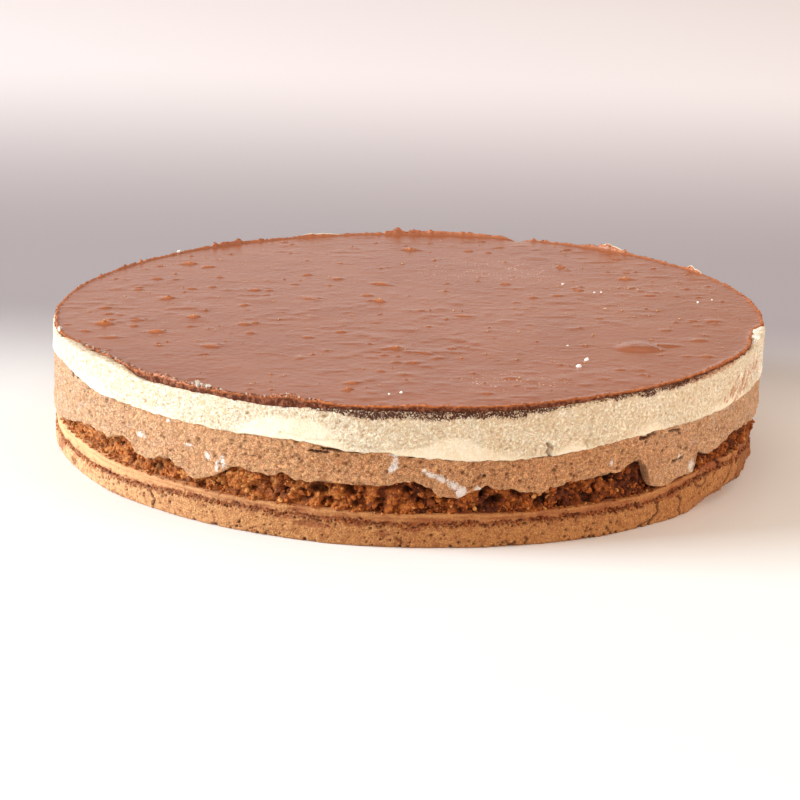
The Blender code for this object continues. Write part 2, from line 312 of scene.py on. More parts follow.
# %% Lamps
def add_lamp(name, bearing, elevation, distance, size, watts, colour):
    """A square soft light that faces the cake, at a bearing and elevation in degrees."""
    lamp = bpy.data.lights.new(name, "AREA")
    lamp.size = size
    lamp.energy = watts
    lamp.color = colour
    turn, lift = math.radians(bearing), math.radians(elevation)
    direction = Vector((math.cos(turn) * math.cos(lift), math.sin(turn) * math.cos(lift), math.sin(lift)))
    made = bpy.data.objects.new(name, lamp)
    made.location = distance * direction
    made.rotation_euler = direction.to_track_quat("Z", "Y").to_euler()
    bpy.context.scene.collection.objects.link(made)


add_lamp("window", -175, 20, 4.0, 2.0, 292.0, (0.83, 0.96, 1.04))
add_lamp("warm_return", -22, 18, 2.5, 1.6, 30.0, (1.0, 0.88, 0.76))
print("lamps:", [light.name for light in bpy.data.lights])

# %% [markdown]
# ## Noise for shapes
# The unevenness of food is worked out for thousands of points at once with numpy. Noise is a random
# number on each corner of a lattice with a smooth blend between them, and a whole number, the seed,
# picks the pattern. Python's own random numbers would do for single points, but noise gives the same
# value at the same place, so two pieces that touch can share one pattern.

# %% Noise in millimetres
def lattice_draw(cells, seed):
    """A random number from 0 to 1 for each whole-number cell, the same on every run."""
    x, y, z = (cells[..., axis] for axis in range(3))
    number = x * 374761393 + y * 668265263 + z * 1440662683 + seed * 974634777
    number = (number ^ (number >> 13)) * 1274126177
    return ((number ^ (number >> 16)) & 0xFFFF) / 0xFFFF


def noise(points, size, seed):
    """Smooth noise from -1 to 1 at points in mm, with features about size mm across."""
    scaled = points / size
    cells = np.floor(scaled).astype(np.int64)
    share = scaled - cells
    share = share * share * (3 - 2 * share)
    total = np.zeros(points.shape[:-1])
    for corner in itertools.product((0, 1), repeat=3):
        weight = np.where(np.array(corner) == 1, share, 1 - share).prod(axis=-1)
        total += weight * lattice_draw(cells + np.array(corner), seed)
    return 2 * total - 1


def grains(points, size, seed):
    """Packed grains about size mm across: for each point, how far it is from the middle of the
    nearest one, as a share of the size, and a random number of that grain."""
    scaled = points / size
    cells = np.floor(scaled).astype(np.int64)
    nearest = np.full(points.shape[:-1], 9.0)
    own = np.zeros(points.shape[:-1])
    for corner in itertools.product((-1, 0, 1), repeat=3):
        cell = cells + np.array(corner)
        middle = cell + np.stack([lattice_draw(cell, seed + axis) for axis in range(3)], -1)
        distance = np.linalg.norm(scaled - middle, axis=-1)
        closer = distance < nearest
        nearest = np.where(closer, distance, nearest)
        own = np.where(closer, lattice_draw(cell, seed + 3), own)
    return nearest, own


def smooth(values, start, end):
    """0 before start, 1 after end, smooth between, for arrays."""
    share = np.clip((values - start) / (end - start), 0, 1)
    return share * share * (3 - 2 * share)


def hill(off, width):
    """1 where off is 0, and a smooth fall to nearly nothing over twice the width, for arrays."""
    return np.exp(-((off / width) ** 2))


print("noise every 2 mm:", noise(np.arange(5)[:, None] * np.array([2.0, 0, 0]), 5.0, 1).round(2))

# %% [markdown]
# ## Reading the layers' edges
# The solids already hold where each layer ends, so those edges are read from them: the corners of a
# solid near its side are sorted by bearing, and the highest, lowest or outermost at each bearing is
# kept. Everything round the cake is then an array with one number for each column of points.

# %% Columns round the cake
RING = 130.0  # mm, the radius of the ring that the cake was set in
COLUMNS = 1700
TURNS = np.arange(COLUMNS) * (2 * math.pi / COLUMNS)
BEARINGS = np.degrees(TURNS)
ARC = TURNS * RING  # mm along the side
PITCH = ARC[1]
print("columns are", round(PITCH, 2), "mm apart")


def column_of(arc):
    """The column nearest to a place along the side."""
    return np.round(arc / PITCH).astype(int) % COLUMNS


def turned(radius, height, turns=TURNS):
    """Points from arrays of radius and height, for each column or for other turns round the cake."""
    return np.stack([radius * np.cos(turns), radius * np.sin(turns), height], -1)


def corners_of(node):
    """The corners of a solid in mm, with their radius and their bearing in degrees."""
    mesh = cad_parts[node].data
    corners = np.empty(3 * len(mesh.vertices), np.float32)
    mesh.vertices.foreach_get("co", corners)
    corners = MM * corners.reshape(-1, 3)
    bearing = np.degrees(np.arctan2(corners[:, 1], corners[:, 0])) % 360
    return corners, np.hypot(corners[:, 0], corners[:, 1]), bearing.round(1) % 360


def softened(values, width=1.4):
    """Values round the cake with their kinks rounded over about width mm."""
    reach = np.arange(-3 * width, 3 * width + PITCH, PITCH)
    weight = hill(reach, width)
    extra = len(reach) // 2
    around = np.concatenate([values[-extra:], values, values[:extra]])
    return np.convolve(around, weight / weight.sum(), "same")[extra:-extra]


def edge(node, least_radius, pick, radial=False, below=1000.0):
    """For each column, the height or the radius that pick takes from a solid's corners near its side."""
    corners, radius, bearing = corners_of(node)
    near = (radius > least_radius) & (corners[:, 2] < below)
    found = (radius if radial else corners[:, 2])[near]
    stops, index = np.unique(bearing[near], return_inverse=True)
    kept = [pick(found[index == stop]) for stop in range(len(stops))]
    return softened(np.interp(BEARINGS, stops, kept, period=360))


def ring_noise(size, seed):
    """Noise from -1 to 1 round the cake, with features about size mm long."""
    return noise(turned(RING, 0 * TURNS), size, seed)


def degrees_from(bearing):
    """How far each column is from a bearing, in degrees."""
    return (BEARINGS - bearing + 180) % 360 - 180


def swell(centre, half_width):
    """1 at a bearing in degrees, and a smooth fall to 0 half_width degrees either side."""
    off = np.abs(degrees_from(centre))
    return 0.5 + 0.5 * np.cos(math.pi * np.minimum(off / half_width, 1))


# %% [markdown]
# ## From rows of points to a closed mesh
# Each layer is built as a turned shape: rows of points from the middle of its underside, out, up its
# side and back in over its top. Because every row has the same columns, faces join by counting.

# %% A mesh with marks
def add_object(name, points, faces, finish, marks=None):
    """A smooth-shaded object from points in mm, with named values on its points."""
    mesh = bpy.data.meshes.new(name)
    mesh.from_pydata((points / MM).tolist(), [], faces)
    mesh.shade_smooth()
    for label, values in (marks or {}).items():
        mesh.attributes.new(label, "FLOAT", "POINT").data.foreach_set("value", values.astype(np.float32))
    mesh.materials.append(finish)
    made = bpy.data.objects.new(name, mesh)
    bpy.context.scene.collection.objects.link(made)
    print(name, len(points), "points", len(faces), "faces")
    return made


# %% A closed layer from rows
def row_faces(rows, start=0):
    """Four-sided faces between neighbouring rows, whose points are numbered from start."""
    row, column = np.meshgrid(np.arange(rows - 1), np.arange(COLUMNS), indexing="ij")
    here = start + row * COLUMNS + column
    ahead = start + row * COLUMNS + (column + 1) % COLUMNS
    return np.stack([here, ahead, ahead + COLUMNS, here + COLUMNS], -1).reshape(-1, 4)


def side_rows(rows, start, rise):
    """Heights of the rows of a side, from a start through a rise, and the rows' places on the ring."""
    height = start + np.linspace(0, 1, rows)[:, None] * rise
    return height, turned(np.full_like(height, RING), height)


def add_layer(name, under, side, over, finish, marks):
    """The closed mesh of one layer. Its side is a pair of arrays, radius and height, and each row under
    or over the side is such a pair, of one number or of one for each column. Marks are given for the
    side, and the other rows take those of its first or last row."""
    radius, height = (
        np.concatenate([
            [np.broadcast_to(row[part], COLUMNS) for row in under],
            side[part],
            [np.broadcast_to(row[part], COLUMNS) for row in over],
        ])
        for part in (0, 1)
    )
    rows = len(radius)
    nearest = np.clip(np.arange(rows) - len(under), 0, len(side[0]) - 1)
    marks = {label: np.broadcast_to(values, side[0].shape)[nearest] for label, values in marks.items()}
    marks = {label: np.append(values.ravel(), (0, 0)) for label, values in marks.items()}
    points = turned(radius, height).reshape(-1, 3)
    middles = np.array([[0, 0, height[0].mean()], [0, 0, height[-1].mean()]])
    faces = row_faces(rows).tolist()
    below, above, last = len(points), len(points) + 1, (rows - 1) * COLUMNS
    for here in range(COLUMNS):
        ahead = (here + 1) % COLUMNS
        faces.append((below, ahead, here))
        faces.append((above, last + here, last + ahead))
    return add_object(name, np.concatenate([points, middles]), faces, finish, marks)


# %% [markdown]
# ## Dents
# Pores, cracks and voids are all bowls pressed into a layer's side, one by one, each into the few
# columns of points that it can reach. Cutting them out as solids would take far longer. They differ
# only in where they lie: at random between two heights, or close together along a line.

# %% Bowls, and where they lie
def pressed(height, *lists):
    """How deep bowls press into a side whose rows have these heights. Each list holds spots: arc,
    height, radius and depth."""
    field = np.zeros_like(height)
    for arc, level, radius, depth in itertools.chain(*lists):
        reach = int(radius / PITCH) + 1
        columns = (int(round(arc / PITCH)) + np.arange(-reach, reach + 1)) % COLUMNS
        off = (ARC[columns] - arc + math.pi * RING) % (2 * math.pi * RING) - math.pi * RING
        share = 1 - (off**2 + (height[:, columns] - level) ** 2) / radius**2
        field[:, columns] = np.maximum(field[:, columns], depth * np.clip(share, 0, 1) ** 1.5)
    return field


def spots(count, low, high, radii, depths, seed, small_bias=2.0):
    """Random spots on a side between two heights, small ones more often."""
    draw = np.random.default_rng(seed)
    arc = draw.uniform(0, ARC[-1], count)
    column = (arc / PITCH).astype(int)
    low, high = np.broadcast_to(low, COLUMNS)[column], np.broadcast_to(high, COLUMNS)[column]
    level = low + draw.random(count) * (high - low)
    size = draw.random(count) ** small_bias
    radius = radii[0] + size * (radii[1] - radii[0])
    return np.stack([arc, level, radius, depths[0] + size * (depths[1] - depths[0])], -1)


def line_spots(corners, radius, depth, jitter=0.1):
    """Spots along a line through corners of bearing and height, wavering in place and in size."""
    draw = np.random.default_rng(int(10 * abs(corners[0][0])))
    found = []
    for (bearing, low), (next_bearing, high) in zip(corners, corners[1:]):
        run = math.radians(next_bearing - bearing) * RING
        count = int(math.hypot(run, high - low) / 0.28) + 1
        for share in np.arange(count) / count:
            arc = math.radians((bearing + share * (next_bearing - bearing)) % 360) * RING
            aside, up, big = draw.normal(0, jitter), draw.normal(0, jitter), draw.uniform(0.85, 1.2)
            found.append((arc + aside, low + share * (high - low) + up, radius * big, depth * big))
    return found


# %% [markdown]
# Smears and rough crumb are ragged patches instead: ovals whose edge is torn up by noise.

# %% Ragged patches
def patches(height, places, seed, ragged=0.5):
    """How far a side lies in any of some ragged patches, 0.5 at their edges: each is a bearing, a
    height, a length and a width in mm, and a tilt in degrees."""
    spot = turned(np.full_like(height, RING), height)
    rag = ragged * (noise(spot, 1.5, seed) + 0.7 * noise(spot, 0.8, seed + 1))
    field = np.zeros_like(height)
    for bearing, middle, length, width, tilt in places:
        along, up = degrees_from(bearing) * math.radians(RING), height - middle
        cos, sin = math.cos(math.radians(tilt)), math.sin(math.radians(tilt))
        off = ((cos * along + sin * up) * 2 / length) ** 2 + ((cos * up - sin * along) * 2 / width) ** 2
        field = np.maximum(field, np.clip(1 - 0.5 * off + 0.5 * rag, 0, 1))
    return field


# %% [markdown]
# Each piece rides on the cake's one body, and takes the place of the solid of its layer.

# %% A piece's place in the part
def settle(piece, node):
    """Parents a piece to the cake's one body and hides the solid of its layer."""
    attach(piece, "root")
    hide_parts(node)


# %% [markdown]
# ## Sponge base
# A thin tan sponge, cut by the ring. Its side shows a lip of smooth skin with a fine crease in it, a
# thin granular groove where the lip has lifted, and below that a flat face with small dark pits,
# reddish rough patches and wandering cracks. At the right a piece of the face has come off and shows
# flaky darker crumb, and the foot beside it is chipped. Every one of these is a depth taken off the
# same outline, so they can overlap without any cutting.

# %% Sponge outline
sponge_top = edge("sponge_base", 124.0, max)
sponge_out = edge("sponge_base", 100.0, max, radial=True)
foot_out = edge("sponge_base", 100.0, max, radial=True, below=0.2)
chip = np.maximum(sponge_out - foot_out - 1.2, 0)
SPONGE_ROWS = 34
SIDE_START = 0.9  # mm above the foot, the first row of the side

side_height, side_place = side_rows(SPONGE_ROWS, SIDE_START, sponge_top - SIDE_START - 0.45)
below_top = sponge_top - side_height
print("sponge is", round(sponge_top.min(), 1), "to", round(sponge_top.max(), 1), "mm high")
print("its foot is chipped by up to", round(chip.max(), 1), "mm")


# %% [markdown]
# The groove, the cracks and the rough patches are read off the photograph as bearings round the cake,
# in degrees from the right, and heights in mm. Cracks on the sides that it doesn't show are drawn at
# random, with the same widths.

# %% Groove, cracks and rough patches
GROOVE_BELOW = (  # bearing, and how far the groove lies under the top there
    (-170, 5.0), (-148, 5.2), (-136, 4.8), (-129, 3.6), (-124, 2.7), (-95, 2.7), (-88, 3.6), (-80, 3.2),
    (-70, 2.8), (-50, 3.0), (-40, 2.6), (-25, 2.8), (10, 3.0), (60, 3.6), (120, 2.9), (160, 4.2),
)
CRACKS = (  # corners of bearing and height, then width
    (((-130.8, 6.1), (-130.2, 4.6), (-129.7, 3.3), (-130.1, 1.8), (-129.9, 0.3)), 0.5),
    (((-49.0, 7.6), (-49.2, 5.9), (-48.8, 4.4), (-50.3, 2.0), (-50.9, 0.3)), 0.45),
    (((-53.6, 0.2), (-52.0, 1.1), (-50.4, 2.2)), 0.35),
    (((-44.6, 8.0), (-43.9, 6.2), (-44.2, 2.6), (-43.5, 0.5)), 0.42),
    (((-27.6, 16.0), (-28.0, 12.8), (-28.6, 10.2), (-29.7, 7.7), (-32.0, 4.6)), 0.62),
    (((-39.7, 12.2), (-37.8, 11.8), (-37.4, 9.2), (-38.6, 8.0), (-40.5, 9.6), (-40.6, 11.4), (-39.7, 12.2)),
     0.34),
    (((-38.4, 8.0), (-39.4, 6.2), (-38.8, 4.6)), 0.3),
    (((-118.4, 0.8), (-116.9, 1.4), (-115.4, 1.1), (-113.5, 1.6)), 0.2),
    (((-112.9, 1.1), (-111.6, 2.3), (-110.3, 2.4), (-108.8, 0.9)), 0.2),
    (((-38.1, 11.1), (-37.6, 9.9), (-37.7, 8.8), (-38.7, 8.3), (-39.8, 8.2)), 0.34),
    (((-34.6, 17.0), (-34.2, 15.0), (-33.2, 12.9)), 0.6),
    (((-91.0, 3.6), (-90.1, 2.2), (-90.4, 0.4)), 0.3),
    (((-72.5, 0.3), (-71.8, 2.0), (-72.3, 3.2)), 0.32),
)
ROUGH_PATCHES = (  # bearing, height, length and width in mm, and tilt
    (-162, 3.6, 13, 5.5, 12), (-154, 2.2, 6, 2.6, 0), (-141, 6.6, 7, 1.6, 0), (-107.5, 7.4, 8, 1.8, 0),
    (-102.8, 5.9, 13, 2.0, 0), (-97.2, 7.4, 9, 2.0, -6), (-93.0, 4.3, 4.6, 2.4, 0), (-88.6, 6.3, 6, 1.6, 0),
    (-63.5, 8.2, 9, 1.3, 0), (-46.0, 8.6, 7, 1.8, 12), (-38.0, 14.0, 12, 2.2, 16), (-33.0, 3.0, 9, 3.0, 0),
    (24, 5.0, 9, 3.5, 0), (58, 6.5, 12, 2.4, 0), (97, 4.2, 8, 3.0, 0), (131, 7.0, 11, 2.2, 0),
    (158, 3.8, 8, 3, 0),
)
TORN_AT, TORN_HALF = -8, 16  # bearing of the middle of the torn piece, and half its width in degrees


def other_cracks():
    """Spots of cracks for the sides that the photograph doesn't show, each wandering up from the foot."""
    draw = np.random.default_rng(8)
    found = []
    for bearing in draw.uniform(12, 190, 11):
        corners = [(bearing, 0.2)]
        while corners[-1][1] < draw.uniform(2.5, 8.0):
            corners.append((corners[-1][0] + draw.normal(0, 0.5), corners[-1][1] + draw.uniform(0.8, 1.8)))
        found += line_spots(corners, draw.uniform(0.3, 0.5), 0.5)
    return found


print(len(CRACKS), "cracks and", len(ROUGH_PATCHES), "rough patches")

# %% [markdown]
# Everything on the side is a depth below the ring's smooth cut, and the depths simply add up. Grains
# that are packed like real crumb roughen the torn piece and the patches.

# %% Depths of the sponge's side
bearings, depths = zip(*GROOVE_BELOW)
groove_at = softened(np.interp(BEARINGS, np.array(bearings) % 360, depths, period=360), 3.0)
groove_at = groove_at + 0.35 * ring_noise(9, 1) + 0.22 * ring_noise(2.6, 2)
from_groove = groove_at - below_top
gate = np.clip(0.6 + 0.8 * noise(side_place, 1.5, 3), 0.05, 1.35)
groove = gate * hill(from_groove, 0.42)
beside = hill(from_groove - 0.2, 1.3) * np.clip(0.7 + 0.7 * noise(side_place, 5, 13), 0, 1)
crease_at = 1.35 + 0.25 * ring_noise(12, 4)
crease = hill(below_top - crease_at, 0.2) * np.clip(0.6 + 0.6 * noise(side_place, 6, 5), 0, 1)
band = smooth(from_groove, 0.1, 0.6)
strata = band * np.clip(noise(side_place * np.array([0.12, 0.12, 1.0]), 0.8, 20) + 0.15, 0, 1)
strata = strata * (1 - 0.75 * swell(-155, 60))

torn_edge = TORN_HALF + 0.35 * np.maximum(11 - side_height, 0) + 1.1 * noise(side_place, 3.2, 6)
torn = smooth(torn_edge - np.abs(degrees_from(TORN_AT)), -0.25, 0.25)
flake_middle, flake_own = grains(side_place * np.array([1, 1, 0.6]), 2.4, 7)
rough = smooth(patches(side_height, ROUGH_PATCHES, 9), 0.3, 0.75)
crumb_middle, crumb_own = grains(side_place, 0.95, 14)

groove_height = sponge_top - groove_at
holes = pressed(
    side_height,
    spots(1000, 0.4, sponge_top - 3.2, (0.3, 0.7), (0.35, 0.9), 10, 1.8),
    spots(2600, groove_height - 1.1, groove_height + 0.5, (0.3, 0.62), (0.35, 0.8), 11),
    spots(200, 0.1, 0.8, (0.3, 0.9), (0.3, 0.9), 12),
    *(line_spots(corners, 0.95 * width, 2.4 * width) for corners, width in CRACKS),
    other_cracks(),
)

depth = 0.14 * noise(side_place, 8, 15) + 0.14 * noise(side_place, 2.4, 16)
depth += 0.1 * noise(side_place, 1.0, 19) + holes
depth += 0.6 * groove + 0.6 * beside * crumb_middle + 0.22 * crease + 0.35 * band + 0.3 * strata
depth += rough * (0.1 + 0.55 * crumb_middle)
depth += torn * (0.75 + 0.9 * flake_middle + 0.5 * flake_own)
depth += chip * (1 - smooth(side_height, 0.6, 5.2 + 0.9 * noise(side_place, 4, 17)))
side_radius = sponge_out - 0.1 - depth
print("sponge's side is", round(depth.max(), 1), "mm deep at most")

# %% [markdown]
# The sponge's colour is tan, paler towards the left and on its lip there, where light is painted,
# redder where the crumb is rough, and nearly chocolate brown deep in the groove, and in the pits and
# the cracks, where that brown is painted shade. Grain too fine for the mesh is added by the finish, as a
# bump and as darker dots, which are painted shade in the pores.

# %% Sponge finish
finish, shader, place = new_finish("sponge")
fine = (pores(place, 0.95, 0.24, 0.4) + pores(place, 2.6, 0.42, 0.35)).clamped()
# Painted light: the left of the sponge, and its lip there, are coloured paler, where the lamp falls.
pale, lip = mark(place, "pale"), mark(place, "band")
grain = fine_grain(place, 0.5) * (1 - pale * 0.45)
colour = coated(
    mottled(place, 9.0, (196, 134, 76), (204, 144, 86)),
    (pale, (240, 187, 138)),
    (grain * 0.7, (152, 92, 50)),
    (step(cloud(place, 2.0, 3.0, 0.7), 0.46, 0.62) * 0.62, (150, 86, 48)),
    (step(cloud(place, 0.6, 2.0, 0.7), 0.58, 0.66) * 0.45, (236, 178, 122)),
    (lip * 0.4, (204, 140, 86)),
    (pale * lip * 0.7, (248, 190, 138)),
    (mark(place, "torn") * 0.85, (140, 84, 50)),
    (mark(place, "rough") * 0.8, (146, 76, 46)),
    # Painted shade: the fine pores are coloured darker.
    (fine * 0.6, (104, 56, 32)),
    (mark(place, "groove") * 0.8, (146, 72, 40)),
    # Painted shade: the pits and the cracks are coloured nearly chocolate brown by their depth.
    (mark(place, "hole") * 0.85, (84, 42, 24)),
)
relief = bump(place, grain * 0.6 - fine * 0.8, 0.32)
complete(shader, place, colour, relief, {"Roughness": 0.8, "Specular IOR Level": 0.25})

# %% [markdown]
# Two rows close the underside and two turn its edge, and the rows over the side round the rim and close
# the top. The marks say how far each point lies in a pit, a patch or the groove, for the finish.

# %% Sponge
sponge_face = side_radius
rim = side_radius[-1]
foot_height = 0.25 + 0.2 * ring_noise(2.5, 18)
sponge = add_layer(
    "sponge",
    [(100, 0), (foot_out - 7, 0), (side_radius[0] - 0.7, 0.02), (side_radius[0] - 0.2, foot_height)],
    (side_radius, side_height),
    [
        (rim - 0.12, sponge_top - 0.2),
        (rim - 0.5, sponge_top - 0.03),
        (rim - 1.6, sponge_top),
        (114, sponge_top.min()),
    ],
    finish,
    {
        "hole": np.clip(holes / 0.6, 0, 1),
        "groove": np.clip(groove + 1.2 * beside * crumb_own + 0.4 * crease + 0.8 * strata, 0, 1),
        "rough": np.clip(rough * (0.35 + crumb_own), 0, 1),
        "torn": torn * (0.55 + 0.45 * flake_own),
        "band": band,
        # Painted light towards the left.
        "pale": 0.85 * swell(-162, 72),
    },
)
settle(sponge, "sponge_base")

# %% [markdown]
# ## Hazelnut crunch
# Crushed roasted nuts and biscuit in dark chocolate. Its side stands back from the ring and is all
# clumps, hollows and granules, with gaps between them, which painted shade makes darker. The clumps
# are packed grains of two sizes pressed out of a core, and over them lie real small granules, each with
# its own turn, size and tone.

# %% Crunch core
FOOT_SEEN = (  # bearing and height of the mousse's lower edge, round the widest drip
    (-59.1, 21.9), (-58.2, 21.2), (-57.1, 21.4), (-55.4, 23.2), (-53.8, 24.4), (-52.9, 22.2), (-52.2, 21.5),
    (-51.5, 16.0), (-51.3, 14.5), (-49.9, 13.5), (-48.2, 12.7), (-47.0, 12.9), (-46.1, 13.7), (-43.6, 14.4),
    (-41.1, 14.2), (-41.0, 19.8), (-40.7, 21.5), (-37.6, 19.2), (-34.8, 19.8), (-32.7, 21.0), (-28.6, 22.7),
)
SIGNED = degrees_from(0)
CRUNCH_ROWS = 30
CRUNCH_BACK = 3.3  # mm, how far the crunch stands back from the ring
INNER = 112  # mm, the radius within which the faces between the layers are plain
CRUNCH_PLAIN = 20.1  # mm, the height of the plain face on the crunch

crunch_top = softened(edge("chocolate_mousse", 128.2, min), 2.2) - 0.15
bearings, heights = zip(*FOOT_SEEN)
at_drip = smooth(SIGNED, bearings[0], bearings[0] + 1.5)
at_drip *= 1 - smooth(SIGNED, bearings[-1] - 1.5, bearings[-1])
crunch_top += at_drip * (softened(np.interp(SIGNED, bearings, heights), 0.5) - 0.15 - crunch_top)

core_height, core_place = side_rows(CRUNCH_ROWS, sponge_top - 0.1, crunch_top - sponge_top + 0.5)
clump_middle, clump_own = grains(core_place, 3.3, 21)
small_middle, small_own = grains(core_place, 1.3, 25)
forward = 0.9 * swell(-88, 38) - 0.6 * swell(-136, 20) + 0.4 * ring_noise(22, 27)
between = sponge_top + 0.8, crunch_top + 0.5
hollows = pressed(core_height, spots(420, *between, (0.9, 2.4), (1.2, 3.4), 28, 1.4))
core_radius = RING - CRUNCH_BACK + forward + 0.8 * noise(core_place, 7, 29) - 1.7 * clump_middle**2
core_radius += 1.3 * clump_own - 0.75 * small_middle**2 - hollows + 0.35 * noise(core_place, 0.9, 26)
proud_lit_clumps = smooth(noise(core_place, 3.6, 30), -0.5, 0.5)  # clumps that stand proud, with painted light on them
core_radius = np.clip(core_radius + 1.2 * (proud_lit_clumps - 0.5), RING - 7.5, RING - 1.0)
gap = np.clip(small_middle**2 + 0.4 * hollows + 0.5 * (clump_middle - 0.45), 0, 1)
print("core stands back", round((RING - core_radius).mean(), 1), "mm on average")


def crunch_face(arc, height):
    """Radius of the core's face at places given by arc and height, and how much painted shade its gaps have.
    """
    column = column_of(arc)
    low, high = core_height[0, column], core_height[-1, column]
    row = np.clip((height - low) / (high - low) * (CRUNCH_ROWS - 1), 0, CRUNCH_ROWS - 1).round().astype(int)
    return core_radius[row, column], gap[row, column]


# %% [markdown]
# The core and the granules share one way of colouring: a tone on each grain, from black chocolate to
# roasted nut, broken up by fine specks, and a little gloss, since the crumb is moist. Painted light
# raises the tone towards the left and on the proud clumps, and painted shade darkens the gaps.

# %% Crumb finish
def crumb_finish(name, tones, speck_colour, roughness=0.5, left_light=0.0, gap_shade_share=0.0):
    """A finish whose colour is chosen by the tone of each grain, with shares of painted light, paler
    towards the left where the lamp falls, and of painted shade, nearly black in the gaps."""
    finish, shader, place = new_finish(name)
    stops = [(position, screen(*tone)) for position, tone in tones]
    speck = fine_grain(place, 0.55)
    colour = place.node("ValToRGB", {"stops": stops}, {"Fac": mark(place, "tone")})
    colour = coated(colour, (speck * 0.4, speck_colour))
    if left_light:
        # Painted light: crumb towards the left is coloured paler, where the lamp falls.
        left = 1 - step(place.node("SeparateXYZ", {}, {0: place}, output="X"), -RING, 0)
        colour = coated(colour, (left * left_light, (248, 160, 92)))
    # Painted shade: the gaps between the clumps are coloured nearly black.
    if gap_shade_share:
        colour = coated(colour, (mark(place, "gap") * gap_shade_share, (38, 16, 8)))
    values = {"Roughness": roughness, "Specular IOR Level": 0.22}
    complete(shader, place, colour, bump(place, speck, 0.45), values)
    return finish


CRUNCH_TONES = (
    (0.0, (58, 24, 10)), (0.3, (124, 56, 24)), (0.6, (198, 104, 40)), (0.85, (240, 138, 58)),
    (1.0, (252, 178, 100)),
)
core_finish = crumb_finish("crunch", CRUNCH_TONES, (96, 46, 24), left_light=0.5, gap_shade_share=0.7)
granule_finish = crumb_finish("crunch_granules", CRUNCH_TONES, (110, 54, 28), left_light=0.5)
crunch_core = add_layer(
    "crunch_core",
    [(INNER, sponge_top.min() - 0.1), (core_radius[0] - 0.3, core_height[0])],
    (core_radius, core_height),
    [(core_radius[-1] - 0.3, core_height[-1]), (INNER, CRUNCH_PLAIN + 0.1)],
    core_finish,
    # Painted light: the tone is raised towards the left, where the lamp falls, and on the proud clumps.
    {"tone": 0.3 * small_own + 0.45 * proud_lit_clumps + 0.12 * clump_own + 0.5 * swell(-150, 75), "gap": gap},
)
settle(crunch_core, "hazelnut_crunch")

# %% [markdown]
# Crumbs, granules and nut pieces are all lumps: balls of 20 or 80 faces, pulled uneven, flattened and
# turned at random. All the lumps of one kind are joined as one mesh, with flat faces like broken crumb.

# %% Lumps as one mesh
def lump_template(subdivisions):
    """Corners and faces of a ball, with 20 faces for one subdivision and 80 for two."""
    shape = bmesh.new()
    bmesh.ops.create_icosphere(shape, subdivisions=subdivisions, radius=1)
    corners = np.array([corner.co[:] for corner in shape.verts])
    faces = np.array([[corner.index for corner in face.verts] for face in shape.faces])
    shape.free()
    return corners, faces


def random_turns(draw, count):
    """Random rotation matrices, worked out from random quaternions."""
    quaternion = draw.normal(size=(count, 4))
    w, x, y, z = (quaternion / np.linalg.norm(quaternion, axis=1, keepdims=True)).T
    rows = [
        [1 - 2 * (y * y + z * z), 2 * (x * y - z * w), 2 * (x * z + y * w)],
        [2 * (x * y + z * w), 1 - 2 * (x * x + z * z), 2 * (y * z - x * w)],
        [2 * (x * z - y * w), 2 * (y * z + x * w), 1 - 2 * (x * x + y * y)],
    ]
    return np.array(rows).transpose(2, 0, 1)


def add_lumps(name, places, sizes, tones, finish, seed, subdivisions=1, ragged=0.42, flat=0.4):
    """Uneven lumps at places in mm, joined as one mesh with a tone on each. Flat is the share of its
    size to which a lump may be flattened."""
    draw = np.random.default_rng(seed)
    corners, faces = lump_template(subdivisions)
    count = len(places)
    shapes = corners * (1 + ragged * draw.uniform(-1, 1, (count, len(corners), 1)))
    shapes = shapes * draw.uniform((0.85, 0.75, flat), (1.3, 1.05, 0.95), (count, 3))[:, None, :]
    shapes = np.einsum("nij,nkj->nki", random_turns(draw, count), shapes) * sizes[:, None, None]
    points = (shapes + places[:, None, :]).reshape(-1, 3)
    joined = (faces + len(corners) * np.arange(count)[:, None, None]).reshape(-1, 3)
    made = add_object(name, points, joined.tolist(), finish, {"tone": np.repeat(tones, len(corners))})
    made.data.shade_flat()
    return made


# %% [markdown]
# Granules lie on the core's face, a little sunk or proud of it. More have dropped on the ledge that
# the sponge makes before the crunch, and the finest sit in the sponge's groove.

# %% Granules
ON_CORE, ON_LEDGE, IN_GROOVE, NUT_PIECES = 7300, 1100, 2200, 300


def drawn(draw, count, least, more, power):
    """Random arcs round the cake, their columns, and sizes in mm, small ones more often."""
    arc = draw.uniform(0, ARC[-1], count)
    return arc, column_of(arc), least + more * draw.random(count) ** power


def levels_on_crunch(draw, column, inset):
    """Random heights on the crunch's face, inset by some mm from its edges."""
    low, high = sponge_top[column] + inset, crunch_top[column] - inset
    return low + draw.random(len(column)) * np.maximum(high - low, 0)


draw = np.random.default_rng(31)
arc, column, size = drawn(draw, ON_CORE, 0.24, 0.75, 3.2)
level = levels_on_crunch(draw, column, 0.4 * size)
face, hidden = crunch_face(arc, level)
radius = np.minimum(face + size * draw.uniform(-0.6, 0.25, ON_CORE), RING - 0.6 - size)
core_places = turned(radius, level, arc / RING)
# Painted light: granules on the proud clumps get a paler tone.
lit_clumps_here = smooth(noise(core_places, 3.6, 30), -0.5, 0.5)
painted_left_light = (0.5 * swell(-150, 75) + 0.15)[column]  # painted light at the left, where the lamp falls
# Painted shade: granules deep in the gaps get a darker tone.
core_tones = np.clip(0.6 * draw.random(ON_CORE) + 0.6 * lit_clumps_here - 0.08 + painted_left_light, 0, 1) * (1.1 - 0.6 * hidden)
kept = hidden < draw.uniform(0.3, 1.5, ON_CORE)
core_places, size, core_tones = core_places[kept], size[kept], core_tones[kept]

